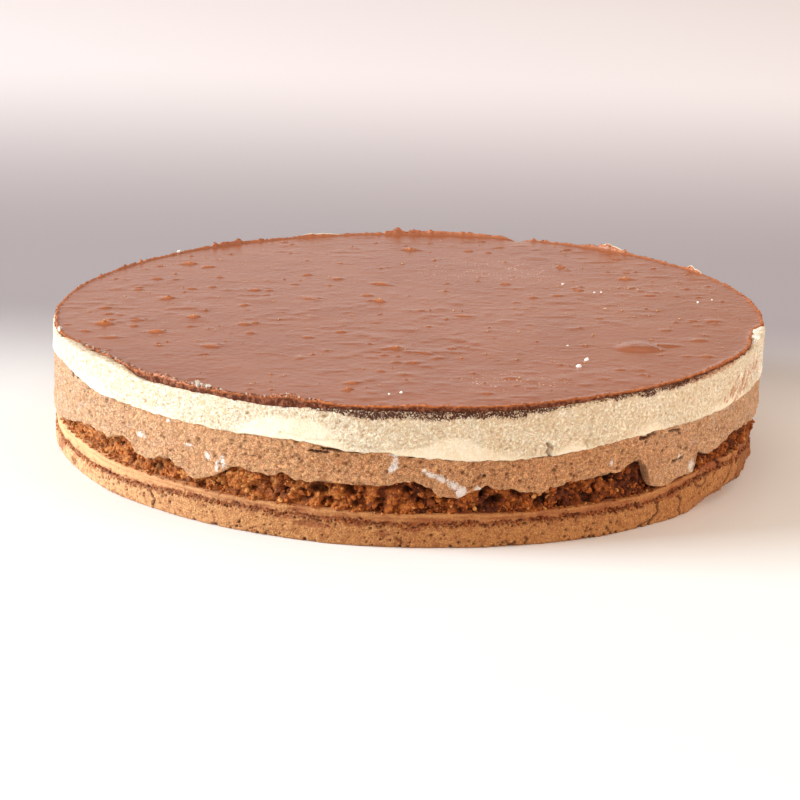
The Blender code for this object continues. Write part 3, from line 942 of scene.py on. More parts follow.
ledge_arc, ledge_column, ledge_size = drawn(draw, ON_LEDGE, 0.25, 0.5, 1.6)
ledge_radius = sponge_face[-1, ledge_column] - draw.uniform(-0.1, 3.0, ON_LEDGE)
ledge_level = sponge_top[ledge_column] + 0.45 * ledge_size
ledge_places = turned(ledge_radius, ledge_level, ledge_arc / RING)

groove_arc, groove_column, groove_size = drawn(draw, IN_GROOVE, 0.2, 0.3, 1.5)
groove_level = groove_height[groove_column] + draw.normal(-0.3, 0.6, IN_GROOVE)
share = (groove_level - SIDE_START) / (sponge_top[groove_column] - SIDE_START - 0.45)
row = np.clip((share * (SPONGE_ROWS - 1)).round().astype(int), 0, SPONGE_ROWS - 1)
groove_radius = sponge_face[row, groove_column] + 0.1 * groove_size
groove_places = turned(groove_radius, groove_level, groove_arc / RING)

crunch_crumbs = add_lumps(
    "crunch_crumbs",
    np.concatenate([core_places, ledge_places, groove_places]),
    np.concatenate([size, ledge_size, groove_size]),
    np.concatenate([core_tones, draw.uniform(0.3, 1.0, ON_LEDGE), draw.uniform(0.1, 0.75, IN_GROOVE)]),
    granule_finish,
    32,
)
settle(crunch_crumbs, "hazelnut_crunch")

# %% [markdown]
# Larger nut pieces lie between them, with more faces, as their broken sides are seen one by one.

# %% Nut pieces
nut_arc, nut_column, nut_size = drawn(draw, NUT_PIECES, 0.7, 0.9, 2)
nut_level = levels_on_crunch(draw, nut_column, 0.8 * nut_size)
nut_radius = np.minimum(crunch_face(nut_arc, nut_level)[0] + 0.1 * nut_size, RING - 1.0 - nut_size)
nut_places = turned(nut_radius, nut_level, nut_arc / RING)
nut_tones = draw.uniform(0.2, 0.75, NUT_PIECES)
crunch_nuts = add_lumps("crunch_nuts", nut_places, nut_size, nut_tones, granule_finish, 33, 2, 0.24, 0.45)
settle(crunch_nuts, "hazelnut_crunch")

# %% [markdown]
# ## Chocolate mousse
# Light brown mousse was spread over the crunch and ran down between its heaps before it set, so its
# lower edge hangs in rounded lobes. Its side has the close dark pores of whipped mousse, a few larger
# voids, slits along the cream, and white smears of cream that the ring dragged down.

# %% Edges of the chocolate mousse
MOUSSE_ROWS = 38

mousse_foot = crunch_top + 0.15 + 0.2 * ring_noise(1.1, 38)
mousse_foot += (1 - 0.8 * at_drip) * (1.1 * (0.3 - np.abs(ring_noise(5.0, 41))) + 0.5 * ring_noise(2.2, 42))
mousse_foot = np.maximum(mousse_foot, sponge_top + 0.5)
mousse_top = edge("chocolate_mousse", 128.0, max) + 0.3 * ring_noise(6, 39)
mousse_top = mousse_top + 0.28 * ring_noise(2.6, 37) + 0.14 * ring_noise(1.2, 36)
mousse_out = RING - 0.2 + 0.2 * ring_noise(24, 43)
side_height, side_place = side_rows(MOUSSE_ROWS, mousse_foot + 0.55, mousse_top - mousse_foot - 0.5)
print("mousse hangs to", round(mousse_foot.min(), 1), "mm")

# %% [markdown]
# Most of its pores are scattered by a rule, but the larger voids and the slits are read off the
# photograph one by one, since the eye finds them at once.

# %% Pores, voids and slits
VOIDS = (  # bearing, height, radius and depth
    (-152.8, 34.1, 1.2, 1.6), (-151.0, 34.3, 0.9, 1.3), (-146.6, 33.6, 1.3, 1.8),
    (-133.0, 34.4, 0.6, 0.8), (-53.6, 31.6, 0.9, 1.5), (-51.3, 33.3, 1.0, 1.6), (-52.2, 32.6, 0.9, 1.4),
    (-46.6, 32.0, 0.5, 0.8), (-65.5, 26.3, 0.55, 0.9), (-65.0, 22.4, 0.5, 0.8),
    (-78.7, 24.4, 0.65, 1.0), (-60.9, 27.2, 0.5, 0.7), (-110.0, 22.0, 0.5, 0.7),
    (-118.8, 29.0, 0.45, 0.7), (-105.0, 27.5, 0.45, 0.7), (-140.0, 28.5, 0.45, 0.6),
    (-57.0, 28.5, 0.45, 0.8), (-52.6, 30.0, 0.6, 0.9), (-50.4, 28.6, 0.5, 0.8), (-49.0, 25.5, 0.6, 0.9),
    (-48.2, 26.4, 0.5, 0.8), (-43.5, 24.0, 0.7, 1.0), (-42.2, 22.6, 0.7, 1.1), (-37.5, 27.5, 0.5, 0.7),
)
SLITS = (  # corners of bearing and height just under the cream
    ((-101.8, 31.7), (-99.0, 31.6), (-96.4, 31.3)), ((-103.6, 30.6), (-100.8, 30.4)),
    ((-47.8, 31.6), (-46.6, 31.6), (-45.5, 31.2), (-45.1, 29.6)), ((-44.9, 25.2), (-44.8, 24.4)),
    ((-89.6, 30.9), (-87.0, 30.6)), ((-84.2, 30.3), (-76.5, 29.6)), ((-70.6, 29.7), (-66.0, 30.5)),
    ((-53.0, 31.3), (-51.6, 31.9), (-50.6, 32.0)), ((-46.8, 20.6), (-44.2, 21.2)),
)

holes = pressed(
    side_height,
    spots(5200, mousse_foot + 0.5, mousse_top - 0.1, (0.34, 0.66), (0.22, 0.5), 44, 2.2),
    spots(240, mousse_foot + 1.2, mousse_top - 0.5, (0.45, 0.95), (0.6, 1.1), 45),
)
voids = pressed(
    side_height,
    [(math.radians(bearing % 360) * RING, *bowl) for bearing, *bowl in VOIDS],
    *(line_spots(corners, 0.42, 1.3) for corners in SLITS),
)
tears = smooth(noise(side_place * np.array([0.35, 0.35, 1.6]), 1.5, 46), 0.66, 0.88)

depth = 0.22 * noise(side_place, 15, 47) + 0.14 * noise(side_place, 4.5, 48)
depth += 0.24 * noise(side_place, 1.7, 49) + 0.2 * noise(side_place, 0.95, 50)
depth += holes + voids + 0.4 * tears
from_foot = side_height - mousse_foot
swollen = 0.3 * hill(from_foot - 1.6, 1.6)  # the lobes bulge before they turn under
print(len(VOIDS), "voids and", len(SLITS), "slits, the deepest", round(voids.max(), 1), "mm")

# %% [markdown]
# The white smears are thin films of cream. They half fill the pores under them, stand a little proud
# and have ragged edges. Those on the sides that the photograph doesn't show are drawn at random.

# %% White smears
SMEARS = (  # bearing, height, length and width in mm, and tilt in degrees
    (-132.5, 24.6, 4.6, 2.2, -8), (-126.8, 32.2, 1.8, 1.2, 0), (-123.0, 25.8, 3.4, 1.1, 0),
    (-117.9, 20.8, 1.5, 4.0, 0), (-116.9, 22.5, 1.8, 4.8, 14), (-119.5, 23.5, 3.4, 2.0, -30),
    (-91.4, 31.2, 4.6, 1.3, 4), (-91.4, 28.2, 2.4, 4.8, 0), (-91.9, 26.4, 1.8, 2.4, 0),
    (-86.6, 25.2, 5.2, 1.9, -24), (-84.9, 23.6, 4.0, 2.2, -30), (-83.2, 21.6, 5.4, 2.7, -40),
    (-82.0, 19.4, 3.6, 3.6, -50), (-81.2, 17.2, 3.0, 3.2, -40), (-79.5, 20.2, 2.6, 2.2, -30),
    (-58.9, 25.0, 1.4, 2.6, -10), (-42.0, 17.2, 4.2, 4.2, 0), (-45.2, 22.0, 1.6, 2.0, 0),
)
draw = np.random.default_rng(51)
SMEAR_RANGES = ((5, 175), (22, 31), (2, 5), (0.8, 1.8), (-60, 60))
BACK_SMEARS = tuple(tuple(draw.uniform(*limits) for limits in SMEAR_RANGES) for _ in range(14))
smears = patches(side_height, SMEARS + BACK_SMEARS, 52, 0.5)
side_radius = mousse_out - 0.3 - depth * (1 - 0.5 * smears) + swollen + 0.15 * smears
print(len(SMEARS), "smears seen,", len(BACK_SMEARS), "more at the back")

# %% [markdown]
# Under its foot the mousse turns in towards the crunch, in a few uneven rows, so that the lobes are
# round from below as well. Steep stretches of the foot turn in less, or their rows would cross.

# %% Underside of the lobes
steep = np.clip(np.abs(np.gradient(mousse_foot) / PITCH), 0, 1.5)
under_share = np.array([1.0, 0.8, 0.62, 0.45, 0.3])[:, None]  # how far in the rows of its underside lie
under = turned(RING - 4.5 * under_share, mousse_foot + 0 * under_share)
under_radius = side_radius[0] - 0.4 - 3.8 * under_share * (1 - 0.35 * steep)
under_radius = under_radius + 0.6 * noise(under, 2.2, 35) + 0.35 * noise(under, 1.0, 33)
under_height = mousse_foot + (crunch_top + 0.3 - mousse_foot) * under_share**2
under_height = under_height + 0.35 * noise(under, 1.6, 34)
print("lobes turn in by up to", round((side_radius[0] - under_radius).max(), 1), "mm")

# %% [markdown]
# Whipped mousse has pores of a fraction of a millimetre everywhere. They are too fine for the mesh, so
# the finish presses them in with a bump, in two sizes, over a crisp grain, and darkens them with painted
# shade, as it does the pressed pores and the voids. The smear's edge is broken up by the same grain.

# %% Mousse finish
finish, shader, place = new_finish("chocolate_mousse")
grain = step(cloud(place, 0.7, 2.0, 0.7, 1.6), 0.44, 0.58)
small, large = pores(place, 0.8, 0.26, 0.6), pores(place, 1.7, 0.36, 0.35)
dots = (small + large).clamped() * step(cloud(place, 7.0), 0.3, 0.6)
smear = step(mark(place, "smear") + (cloud(place, 0.5, 3.0, 0.8, 1.2) - 0.5) * 3.2, 0.5, 0.7)
# Painted light: the mousse is coloured paler, with whiter patches, at the left and the right, where the lamps
# fall.
pale = mark(place, "pale")
colour = coated(
    mottled(place, 6.0, (236, 174, 120), (226, 160, 106)),
    (pale * 0.7, (244, 212, 178)),
    (step(cloud(place, 3.0, 3.0), 0.5, 0.66) * pale * 0.8, (248, 226, 208)),
    (grain * 0.66, (158, 95, 54)),
    (mark(place, "foot") * 0.25, (222, 172, 126)),
    # Painted highlights: fine pale specks.
    (step(cloud(place, 0.5, 2.0, 0.7), 0.56, 0.64) * 0.7, (250, 206, 162)),
    # Painted shade: the pores, and the pressed pores, are coloured darker.
    (dots * 0.7, (120, 62, 30)),
    (mark(place, "hole") * 0.5, (126, 68, 34)),
    (smear * 0.92, (246, 236, 228)),
    # Painted shade: the voids, slits and tears are coloured nearly black.
    (mark(place, "void") * 0.9, (70, 32, 16)),
)
relief = bump(place, (grain * 0.7 - dots * 0.8) * (1 - smear * 0.6), 0.6)
complete(shader, place, colour, relief, {
    "Roughness": 0.6,
    "Specular IOR Level": 0.15,
    "Sheen Weight": 0.15,
    "Sheen Tint": screen(255, 226, 200),
    "Subsurface Weight": 0.2,
    "Subsurface Radius": (1.0, 0.45, 0.2),
    "Subsurface Scale": 0.001,
})

# %% Chocolate mousse
mousse_chocolate = add_layer(
    "mousse_chocolate",
    [
        (INNER, CRUNCH_PLAIN),
        *zip(under_radius, under_height),
        (side_radius[0] - 0.6, mousse_foot),
        (side_radius[0] - 0.18, mousse_foot + 0.2),
    ],
    (side_radius, side_height),
    [(side_radius[-1] - 0.4, mousse_top + 0.15), (INNER, mousse_top.mean())],
    finish,
    {
        "hole": np.clip(holes / 0.45, 0, 1) * (1 - 0.7 * smears),
        "void": np.clip(voids / 0.5 + 0.5 * tears, 0, 1),
        "smear": smears,
        # Painted light at the left and the right.
        "pale": 0.55 * swell(-168, 66) + 0.55 * swell(-26, 40),
        "foot": np.exp(-from_foot / 1.3),
    },
)
settle(mousse_chocolate, "chocolate_mousse")

# %% [markdown]
# ## The slope of the top
# The cake was set on a slope, so its top climbs to the right. A plane laid through the glaze's corners
# just inside its raised rim gives that slope, and every height on top is counted from it.

# %% Plane of the top
GLAZE_THICK = 1.2  # mm, from the plane down to the glaze's underside

corners, radii, bearings = corners_of("chocolate_glaze")
glaze_out = edge("chocolate_glaze", 118.0, max, radial=True)
inset = np.interp(bearings, BEARINGS, glaze_out, period=360) - radii
flat = corners[(inset > 1.6) & (inset < 2.8)]
terms = np.stack([flat[:, 0], flat[:, 1], np.ones(len(flat))], -1)
slope_x, slope_y, middle_height = np.linalg.lstsq(terms, flat[:, 2], rcond=None)[0]
print("top is", round(middle_height, 1), "mm high and climbs", round(math.degrees(slope_x), 2), "degrees")


def top_height(x, y):
    """Height of the plane of the top."""
    return middle_height + slope_x * x + slope_y * y


def top_at(radius):
    """Height of the plane of the top for each column, at a radius."""
    return top_height(radius * np.cos(TURNS), radius * np.sin(TURNS))


# %% [markdown]
# ## Cream mousse
# Ivory mousse with finer pores. Near its foot it is smooth where it slid against the ring, and its
# foot laps over the chocolate mousse. Just under the glaze its pores have filled with dark chocolate,
# in a speckled band along the front, and at the right a thin film of glaze is smeared on it. At the
# left and right the glaze ends short of the ring, and the cream's ragged rim stands beside it.

# %% Edges of the cream
CREAM_ROWS = 35

cream_foot = mousse_top - 0.1
glaze_foot = edge("chocolate_glaze", 119.0, min)
whole = smooth(SIGNED, -13, -8) * (1 - smooth(SIGNED, 8, 16))  # the glaze reaches the ring again here
glaze_out = glaze_out + whole * np.maximum(129.3 - glaze_out, 0)
shoulder = edge("cream_mousse", 121.0, max)
shoulder = shoulder + whole * np.minimum(glaze_foot - 0.3 - shoulder, 0)
cream_out = RING + 0.1 * ring_noise(30, 62)
rim_width = cream_out - glaze_out
shown = smooth(rim_width, 1.3, 2.6)  # 1 where the cream's rim shows beside the glaze
raised = 0.55 * swell(-140, 22) + 1.6 * swell(-14, 12) * np.clip(ring_noise(1.5, 61), 0, 1)
ragged_top = shoulder + raised + shown * (0.35 * ring_noise(1.8, 63) + 0.35 * ring_noise(5, 64))
side_height, side_place = side_rows(CREAM_ROWS, cream_foot + 0.2, ragged_top - cream_foot - 0.35)
print("cream is", round((ragged_top - cream_foot).min(), 1), "mm thick at its thinnest")

# %% [markdown]
# Its relief is shallow: fine pores, least where the ring left it sleek, a few folds at the front where
# it slipped, and a foot that laps outward. The dark band under the glaze reaches furthest down at the
# front.

# %% Pores and folds of the cream
from_top = ragged_top - side_height
from_foot = side_height - cream_foot
sleek = smooth(noise(side_place, 16, 65) - 0.16 * from_foot + 0.5 * swell(-104, 16), -0.7, -0.2)

holes = (1 - 0.8 * sleek) * pressed(
    side_height,
    spots(5200, cream_foot + 0.8, ragged_top - 0.3, (0.32, 0.6), (0.16, 0.4), 66, 2.4),
    spots(40, cream_foot + 2, ragged_top - 1, (0.5, 1.0), (0.3, 0.7), 67),
)
cocoa_reach = 3.4 * swell(-92, 15) + 2.6 * swell(-76, 14) + 1.9 * swell(-50, 22) + 1.2 * swell(60, 60)
cocoa_reach = cocoa_reach * (1 + 0.35 * ring_noise(4, 68)) + 0.5 * swell(140, 40)
cocoa = smooth(cocoa_reach - from_top, -0.9, 1.6)

FOLDS = (  # corners of bearing and height, then depth
    (((-69.6, 34.2), (-69.0, 32.4), (-69.7, 31.2), (-69.0, 30.0)), 1.7),
    (((-62.6, 41.0), (-63.0, 38.0), (-62.7, 35.6), (-63.5, 33.0), (-63.2, 31.2)), 0.7),
    (((-97.5, 33.4), (-93.0, 32.7), (-89.0, 33.6), (-86.0, 35.2)), 0.35),
    (((-108.0, 35.4), (-103.0, 34.2), (-98.5, 34.9)), 0.3),
    (((-88.6, 39.6), (-86.4, 36.8), (-84.0, 35.2)), 0.25),
)
folds = pressed(side_height, *(line_spots(corners, 0.6, deep, 0.08) for corners, deep in FOLDS))

depth = 0.2 * noise(side_place, 18, 71) + 0.09 * noise(side_place, 4, 72)
depth += (0.15 * noise(side_place, 1.7, 73) + 0.12 * noise(side_place, 0.95, 74)) * (1 - 0.7 * sleek)
depth += holes + folds + 0.12 * cocoa
depth += swell(-16, 17) * 0.9 * np.clip(noise(side_place * np.array([1, 1, 0.5]), 1.5, 60), -0.2, 1)
lap = 0.28 * hill(from_foot - 0.7, 0.8) * (0.8 + 0.5 * ring_noise(7, 75))
side_radius = cream_out - 0.12 - depth + lap
print("cream's folds are", round(folds.max(), 1), "mm deep at most")

# %% [markdown]
# Chocolate is dragged over the cream at the right, in wisps along a slanting band, and a few lumps at
# the left are yellower. Both are marks alone, since they are too thin to show as shape.

# %% Smears and lumps on the cream
draw = np.random.default_rng(58)
CREAM_SMEARS = [  # bearing, height, length and width in mm, and tilt
    (
        middle,
        37.0 + 0.28 * (middle + 34) + draw.normal(0, 1.8),
        draw.uniform(2, 7),
        draw.uniform(0.6, 1.9),
        draw.uniform(30, 62),
    )
    for middle in draw.uniform(-34, -6, 34)
]
film = smooth(1.7 * swell(-40, 16) - from_top + 0.5 * noise(side_place, 2.5, 78), 0, 0.8)
cream_smears = np.maximum(patches(side_height, CREAM_SMEARS, 79, 0.8), 0.7 * film)
LUMPS_SEEN = ((-120.5, 41.0, 3.0, 1.4, 20), (-116.5, 39.6, 3.4, 1.2, -20), (-126.5, 42.2, 2.4, 1.0, 0))
print(len(CREAM_SMEARS), "smears and", len(LUMPS_SEEN), "lumps")

# %% [markdown]
# The cream's finish has pores and grain of the same kinds as the chocolate mousse's, but paler, and
# least where it is sleek, with painted shade in its pores and folds. The dark chocolate in its pores has
# a crisp edge.

# %% Cream finish
finish, shader, place = new_finish("cream_mousse")
sleek_mark = mark(place, "sleek")
grain = step(cloud(place, 0.7, 2.0, 0.7, 1.0), 0.44, 0.6) * (1 - sleek_mark * 0.7)
small = pores(place, 0.9, 0.24, 0.45) * (1 - sleek_mark * 0.8)
large = pores(place, 2.3, 0.4, 0.3) * (1 - sleek_mark * 0.8)
dots = (small + large).clamped()
streaks = cloud(place, 0.55, 3.0, 0.8) + (cloud(place, 3.0) - 0.5) * 0.4
filled = step(streaks + mark(place, "cocoa") * 0.36, 0.77, 0.83)
smear = step(mark(place, "smear") + (cloud(place, 0.7, 3.0, 0.8, 1.2) - 0.5) * 2.6, 0.2, 0.8)
colour = coated(
    mottled(place, 8.0, (251, 239, 215), (246, 231, 203)),
    (mark(place, "white") * 0.6, (254, 246, 234)),
    (grain * 0.62, (220, 180, 128)),
    (mark(place, "yellow") * 0.5, (240, 206, 140)),
    # Painted shade: the pores, and the pressed pores, are coloured darker.
    (dots * 0.75, (194, 138, 70)),
    (mark(place, "hole") * 0.5, (198, 144, 82)),
    (smear * 0.8, (200, 136, 96)),
    # Painted shade in the folds.
    (mark(place, "fold") * 0.3, (190, 150, 104)),
    (mark(place, "cocoa") * 0.3, (196, 146, 110)),
    (filled, (84, 42, 24)),
)
complete(shader, place, colour, bump(place, grain * 0.6 - dots * 0.8, 0.45), {
    "Specular IOR Level": 0.22,
    "Subsurface Weight": 0.3,
    "Subsurface Radius": (1.0, 0.7, 0.4),
    "Subsurface Scale": 0.0012,
})
place.feed(shader.inputs["Roughness"], 0.5 - sleek_mark * 0.2)

# %% [markdown]
# The rows over the side cross the ragged rim to the glaze's edge, and go on under the glaze.

# %% Cream mousse
lane = np.maximum(side_radius[-1] - glaze_out, 0.2)  # the width of the rim beside the glaze
bumpy = 0.2 * shown * ring_noise(1.3, 76)
mousse_cream = add_layer(
    "mousse_cream",
    [
        (INNER, cream_foot.mean()),
        (side_radius[0] - 0.9, cream_foot + 0.1),
        (side_radius[0] - 0.12, cream_foot),
    ],
    (side_radius, side_height),
    [
        (side_radius[-1] - 0.15 * lane, ragged_top - 0.05 + bumpy),
        (side_radius[-1] - 0.5 * lane, ragged_top - bumpy),
        (glaze_out + 0.05, np.maximum(glaze_foot + 0.1, ragged_top - 0.5)),
        (glaze_out - 1.0, glaze_foot + 0.2),
        (INNER, top_at(INNER) - GLAZE_THICK - 0.1),
    ],
    finish,
    {
        "hole": np.clip(holes / 0.3, 0, 1),
        "sleek": sleek,
        "cocoa": cocoa,
        "smear": cream_smears,
        "fold": np.clip(folds, 0, 1),
        "yellow": patches(side_height, LUMPS_SEEN, 80),
        "white": swell(-12, 20),
    },
)
settle(mousse_cream, "cream_mousse")

# %% [markdown]
# ## Glaze
# A thin milk chocolate glaze, poured over the set cream. It is smooth and satin, but crushed nuts
# under it lift it into small bumps, and fine wrinkles run over it. The ring dragged its edge up into a
# ragged burr, highest at the left. A grid would waste points, so the top is a Delaunay mesh: even
# points everywhere, closer rows at the rim and closer points on the bumps.

# %% Rim of the glaze
glaze_edge = glaze_out - 0.1 + 0.22 * ring_noise(2.4, 81) + 0.12 * ring_noise(1.1, 77)
burr = edge("chocolate_glaze", 122.0, max) - top_at(glaze_out - 0.5)
burr = burr * (0.9 + 0.3 * ring_noise(4.5, 82)) + (0.22 + 0.12 * np.clip(burr, 0, 2)) * ring_noise(1.5, 83)
burr = burr + 0.8 * np.clip(ring_noise(2.2, 89) - 0.55, 0, 1) + 0.35 * swell(95, 90)
# Cream clings to the burr in places: bearing, half length in degrees and added height in mm.
CREAM_CLINGS = ((107.2, 5.5, 0.75), (49.6, 4.2, 0.9), (29.6, 3.8, 0.75), (-163.8, 1.0, 0.7))
creamy, cling = 0.0, 0.0
for bearing, half_width, tall in CREAM_CLINGS:
    cling = cling + tall * smooth(swell(bearing, half_width) + 0.2 * ring_noise(2.4, 99), 0.1, 0.8)
    creamy = np.maximum(creamy, swell(bearing, half_width))
creamy = smooth(creamy + 0.35 * ring_noise(1.4, 100), 0.2, 0.5)
notch = swell(69.5, 3.2) * 1.6  # the broken place in the rim at the back
SPIKES = (  # spikes and gaps of the burr: bearing, half length in degrees and height in mm
    (159, 0.6, 0.7), (151, 0.6, 0.6), (146.5, 0.5, 1.5), (128.7, 0.9, 1.3), (123.6, 1.0, 1.2),
    (126, 3.0, 0.4), (119, 0.7, 0.4), (92.4, 1.3, 1.5), (89.4, 2.2, 0.9), (95.2, 0.7, -0.7),
    (86.4, 0.8, 0.7), (83, 1.4, 0.5), (80.2, 0.6, 0.5), (66.3, 0.7, 0.8), (63.8, 0.5, 0.5),
    (55, 2.4, 0.7), (52.5, 0.5, 0.9), (47, 0.6, 0.8), (37, 0.5, 0.5), (30, 1.2, 0.5), (18, 0.5, 0.4),
    (12, 0.4, 0.5), (6, 0.5, 0.6), (0, 0.4, 0.5), (-6, 0.4, 0.5), (-147.5, 0.6, 0.8),
    (-143.8, 0.8, 0.5), (-133.6, 0.7, 0.7), (-129.4, 0.8, 0.6), (-125.6, 0.4, 0.6),
)
for bearing, half_width, tall in SPIKES:
    burr = burr + tall * swell(bearing, half_width) * (1 + 0.3 * ring_noise(0.9, 97))
print("burr is up to", round(burr.max(), 1), "mm high")

# %% [markdown]
# The bumps that stand out in the photograph are listed one by one, and many small ones are spread
# between them at random. Each is an oval with its own turn and an uneven outline, as the nut under it has.

# %% Bumps of the glaze
BUMPS = (  # x, y, width and height in mm
    (-109, -27, 5.8, 0.9), (-89, -38, 6.0, 0.9), (-78, -17, 4.6, 0.9), (-90, 12, 5.0, 0.8),
    (-88, 69, 5.2, 0.9), (-80, 64, 4.4, 0.6), (-98, -22, 4.0, 0.6), (-107, -21, 2.4, 0.5),
    (-98, -30, 3.0, 0.6), (0, 98, 5.8, 1.0), (-11, 38, 7.0, 0.6), (-11, 10, 4.2, 0.9),
    (-16, 19, 3.8, 0.6), (-28, 46, 5.5, 0.5), (-59, 26, 5.3, 0.6), (-61, 2, 3.0, 0.6),
    (-68, -56, 6.2, 0.5), (-104, -46, 7.0, 0.4), (-112, -4, 4.5, 0.5), (-4, -57, 3.4, 0.9),
    (-4, -57, 9.0, 0.4), (60, 69, 3.4, 0.9), (84, 50, 5.5, 0.8), (91, 23, 5.0, 0.4),
    (110, -15, 5.1, 0.4), (102, -42, 5.3, 0.4), (103, -15, 3.7, 0.4), (-19, -109, 3.4, 0.8),
    (-18, -101, 4.0, 0.6), (20, -11, 5.5, 0.5), (37, 39, 3.9, 0.6), (65, 30, 3.1, 0.6),
    (6, -63, 4.8, 0.4), (2, -75, 4.2, 0.5), (-37, 14, 7.5, 0.4), (-40, 52, 3.5, 0.6),
    (-24, -35, 3.4, 0.5), (102, -64, 4.1, 0.5), (-55, -24, 2.6, 0.6), (-103, 25, 3.8, 0.5),
    (-98, 43, 3.9, 0.6), (-74, 46, 2.6, 0.5), (-75, 30, 2.6, 0.5), (-83, 27, 3.8, 0.5),
    (-59, -26, 4.3, 0.5), (-122, -29, 2.6, 0.5), (-114, -38, 3.6, 0.5), (-78, -30, 2.6, 0.4),
    (-56, -38, 2.8, 0.5), (-35, -43, 4.2, 0.4), (24, 97, 3.3, 0.6), (32, 95, 2.4, 0.5),
    (84, 84, 2.6, 0.5), (97, 68, 2.6, 0.5), (56, 21, 3.8, 0.5), (92, -29, 3.6, 0.4),
    (71, -82, 3.4, 0.4), (26, -112, 3.2, 0.4), (33, -94, 2.6, 0.4), (-9, -86, 2.7, 0.5),
)
draw = np.random.default_rng(84)
SPREAD = 380
spread_radius, spread_turn = 124 * np.sqrt(draw.random(SPREAD)), draw.uniform(0, 2 * math.pi, SPREAD)
spread = np.stack([
    spread_radius * np.cos(spread_turn),
    spread_radius * np.sin(spread_turn),
    1.4 + 2.4 * draw.random(SPREAD) ** 2,
    0.1 + 0.28 * draw.random(SPREAD) ** 2,
], -1)
bumps = np.concatenate([np.array(BUMPS), spread])
bump_turn = draw.uniform(-0.5, 0.5, len(bumps))
bump_shape = draw.uniform(0.5, 0.85, len(bumps))
print(len(BUMPS), "bumps seen and", SPREAD, "spread")


def bump_relief(x, y):
    """Height of the bumps at points of the top, and how far each point is up one."""
    total, share = np.zeros_like(x), np.zeros_like(x)
    for (at_x, at_y, width, tall), turn, narrow in zip(bumps, bump_turn, bump_shape):
        near = np.flatnonzero((np.abs(x - at_x) < width) & (np.abs(y - at_y) < width))
        off_x, off_y = x[near] - at_x, y[near] - at_y
        along = (off_x * math.cos(turn) + off_y * math.sin(turn)) / (0.5 * width)
        across = (off_y * math.cos(turn) - off_x * math.sin(turn)) / (0.5 * width * narrow)
        ragged = 1 + 0.5 * noise(np.stack([x[near], y[near], 0 * x[near]], -1), 2.0, 96)
        rise = np.exp(-(((along**2 + across**2) * np.maximum(ragged, 0.2)) ** 1.4))
        total[near] = np.maximum(total[near], 0.85 * tall * rise)
        share[near] = np.maximum(share[near], rise * min(1.3 * tall, 1))
    return total, share


# %% [markdown]
# Between the bumps the glaze has short wrinkles, stronger in some patches, a short ripple and a slow
# one. At the right it has lifted into one large blister, bent like a bean, with a tail.

# %% Relief of the glaze
BLISTER = (80.0, -54.5, 6.8, 4.4, 1.1)  # x, y, half length, half width and height


def glaze_relief(x, y):
    """Height of the glaze above its plane, away from the rim."""
    place = np.stack([x, y, 0 * x], -1)
    patch = 0.35 + 0.65 * smooth(noise(place, 55, 85), -0.5, 0.6)
    long_way = place * np.array([0.62, 1, 1])
    wrinkles = 0.3 * np.clip(noise(long_way, 3.6, 86) - 0.2, 0, 1) + 0.04 * noise(long_way, 2.6, 87)
    waves = patch * (wrinkles + 0.06 * noise(long_way, 7, 85)) + 0.14 * noise(place, 38, 88)
    at_x, at_y, long, wide, tall = BLISTER
    bend = (y - at_y) + 0.01 * (x - at_x) ** 2
    bend = np.where(bend > 0, 0.6 * bend, bend)
    blister = tall * np.exp(-((((x - at_x) / long) ** 2 + (bend / wide) ** 2) ** 2.0))
    tail = 0.5 * np.exp(-((((x - at_x - 9) / 4.5) ** 2 + ((y - at_y - 4) / 2.4) ** 2) ** 1.3))
    rise, share = bump_relief(x, y)
    return waves + np.maximum(blister, tail) + rise, share


# %% [markdown]
# The points lie in rows along the rim, then in an even grid, and in a finer grid on the larger bumps
# instead of the even one. The Delaunay tool joins them all into triangles, none outside the rim.

# %% Glaze points
RIM_OFFSETS = (0.0, 0.2, 0.45, 0.75, 1.1, 1.6, 2.4, 3.5, 4.9)
RIM_RISE = (0.62, 0.93, 1.0, 0.86, 0.55, 0.25, 0.07, 0.02, 0.0)  # share of the burr at each offset
CLING_RISE = (1.0, 1.0, 0.3, 0, 0, 0, 0, 0, 0)  # and of the cream that clings behind it
EVEN_SPACING, FINE_SPACING = 1.25, 0.55  # mm between points, away from the bumps and on them
BUSY = 0.26  # mm, the height from which a bump is given the finer points

rim_x = np.stack([(glaze_edge - offset) * np.cos(TURNS) for offset in RIM_OFFSETS])
rim_y = np.stack([(glaze_edge - offset) * np.sin(TURNS) for offset in RIM_OFFSETS])


def grid_points(low_x, high_x, low_y, high_y, spacing):
    """Points of a triangular grid in a rectangle."""
    rows = np.arange(low_y, high_y, spacing * math.sqrt(3) / 2)
    columns = np.arange(low_x, high_x, spacing)
    x, y = np.meshgrid(columns, rows)
    x = x + (np.arange(len(rows)) % 2)[:, None] * spacing / 2
    return np.stack([x.ravel(), y.ravel()], -1)


def within(points, margin):
    """Whether points lie inside the rim's rows by more than a margin."""
    bearing = np.degrees(np.arctan2(points[:, 1], points[:, 0])) % 360
    limit = np.interp(bearing, BEARINGS, glaze_edge, period=360) - RIM_OFFSETS[-1] - margin
    return np.hypot(points[:, 0], points[:, 1]) < limit


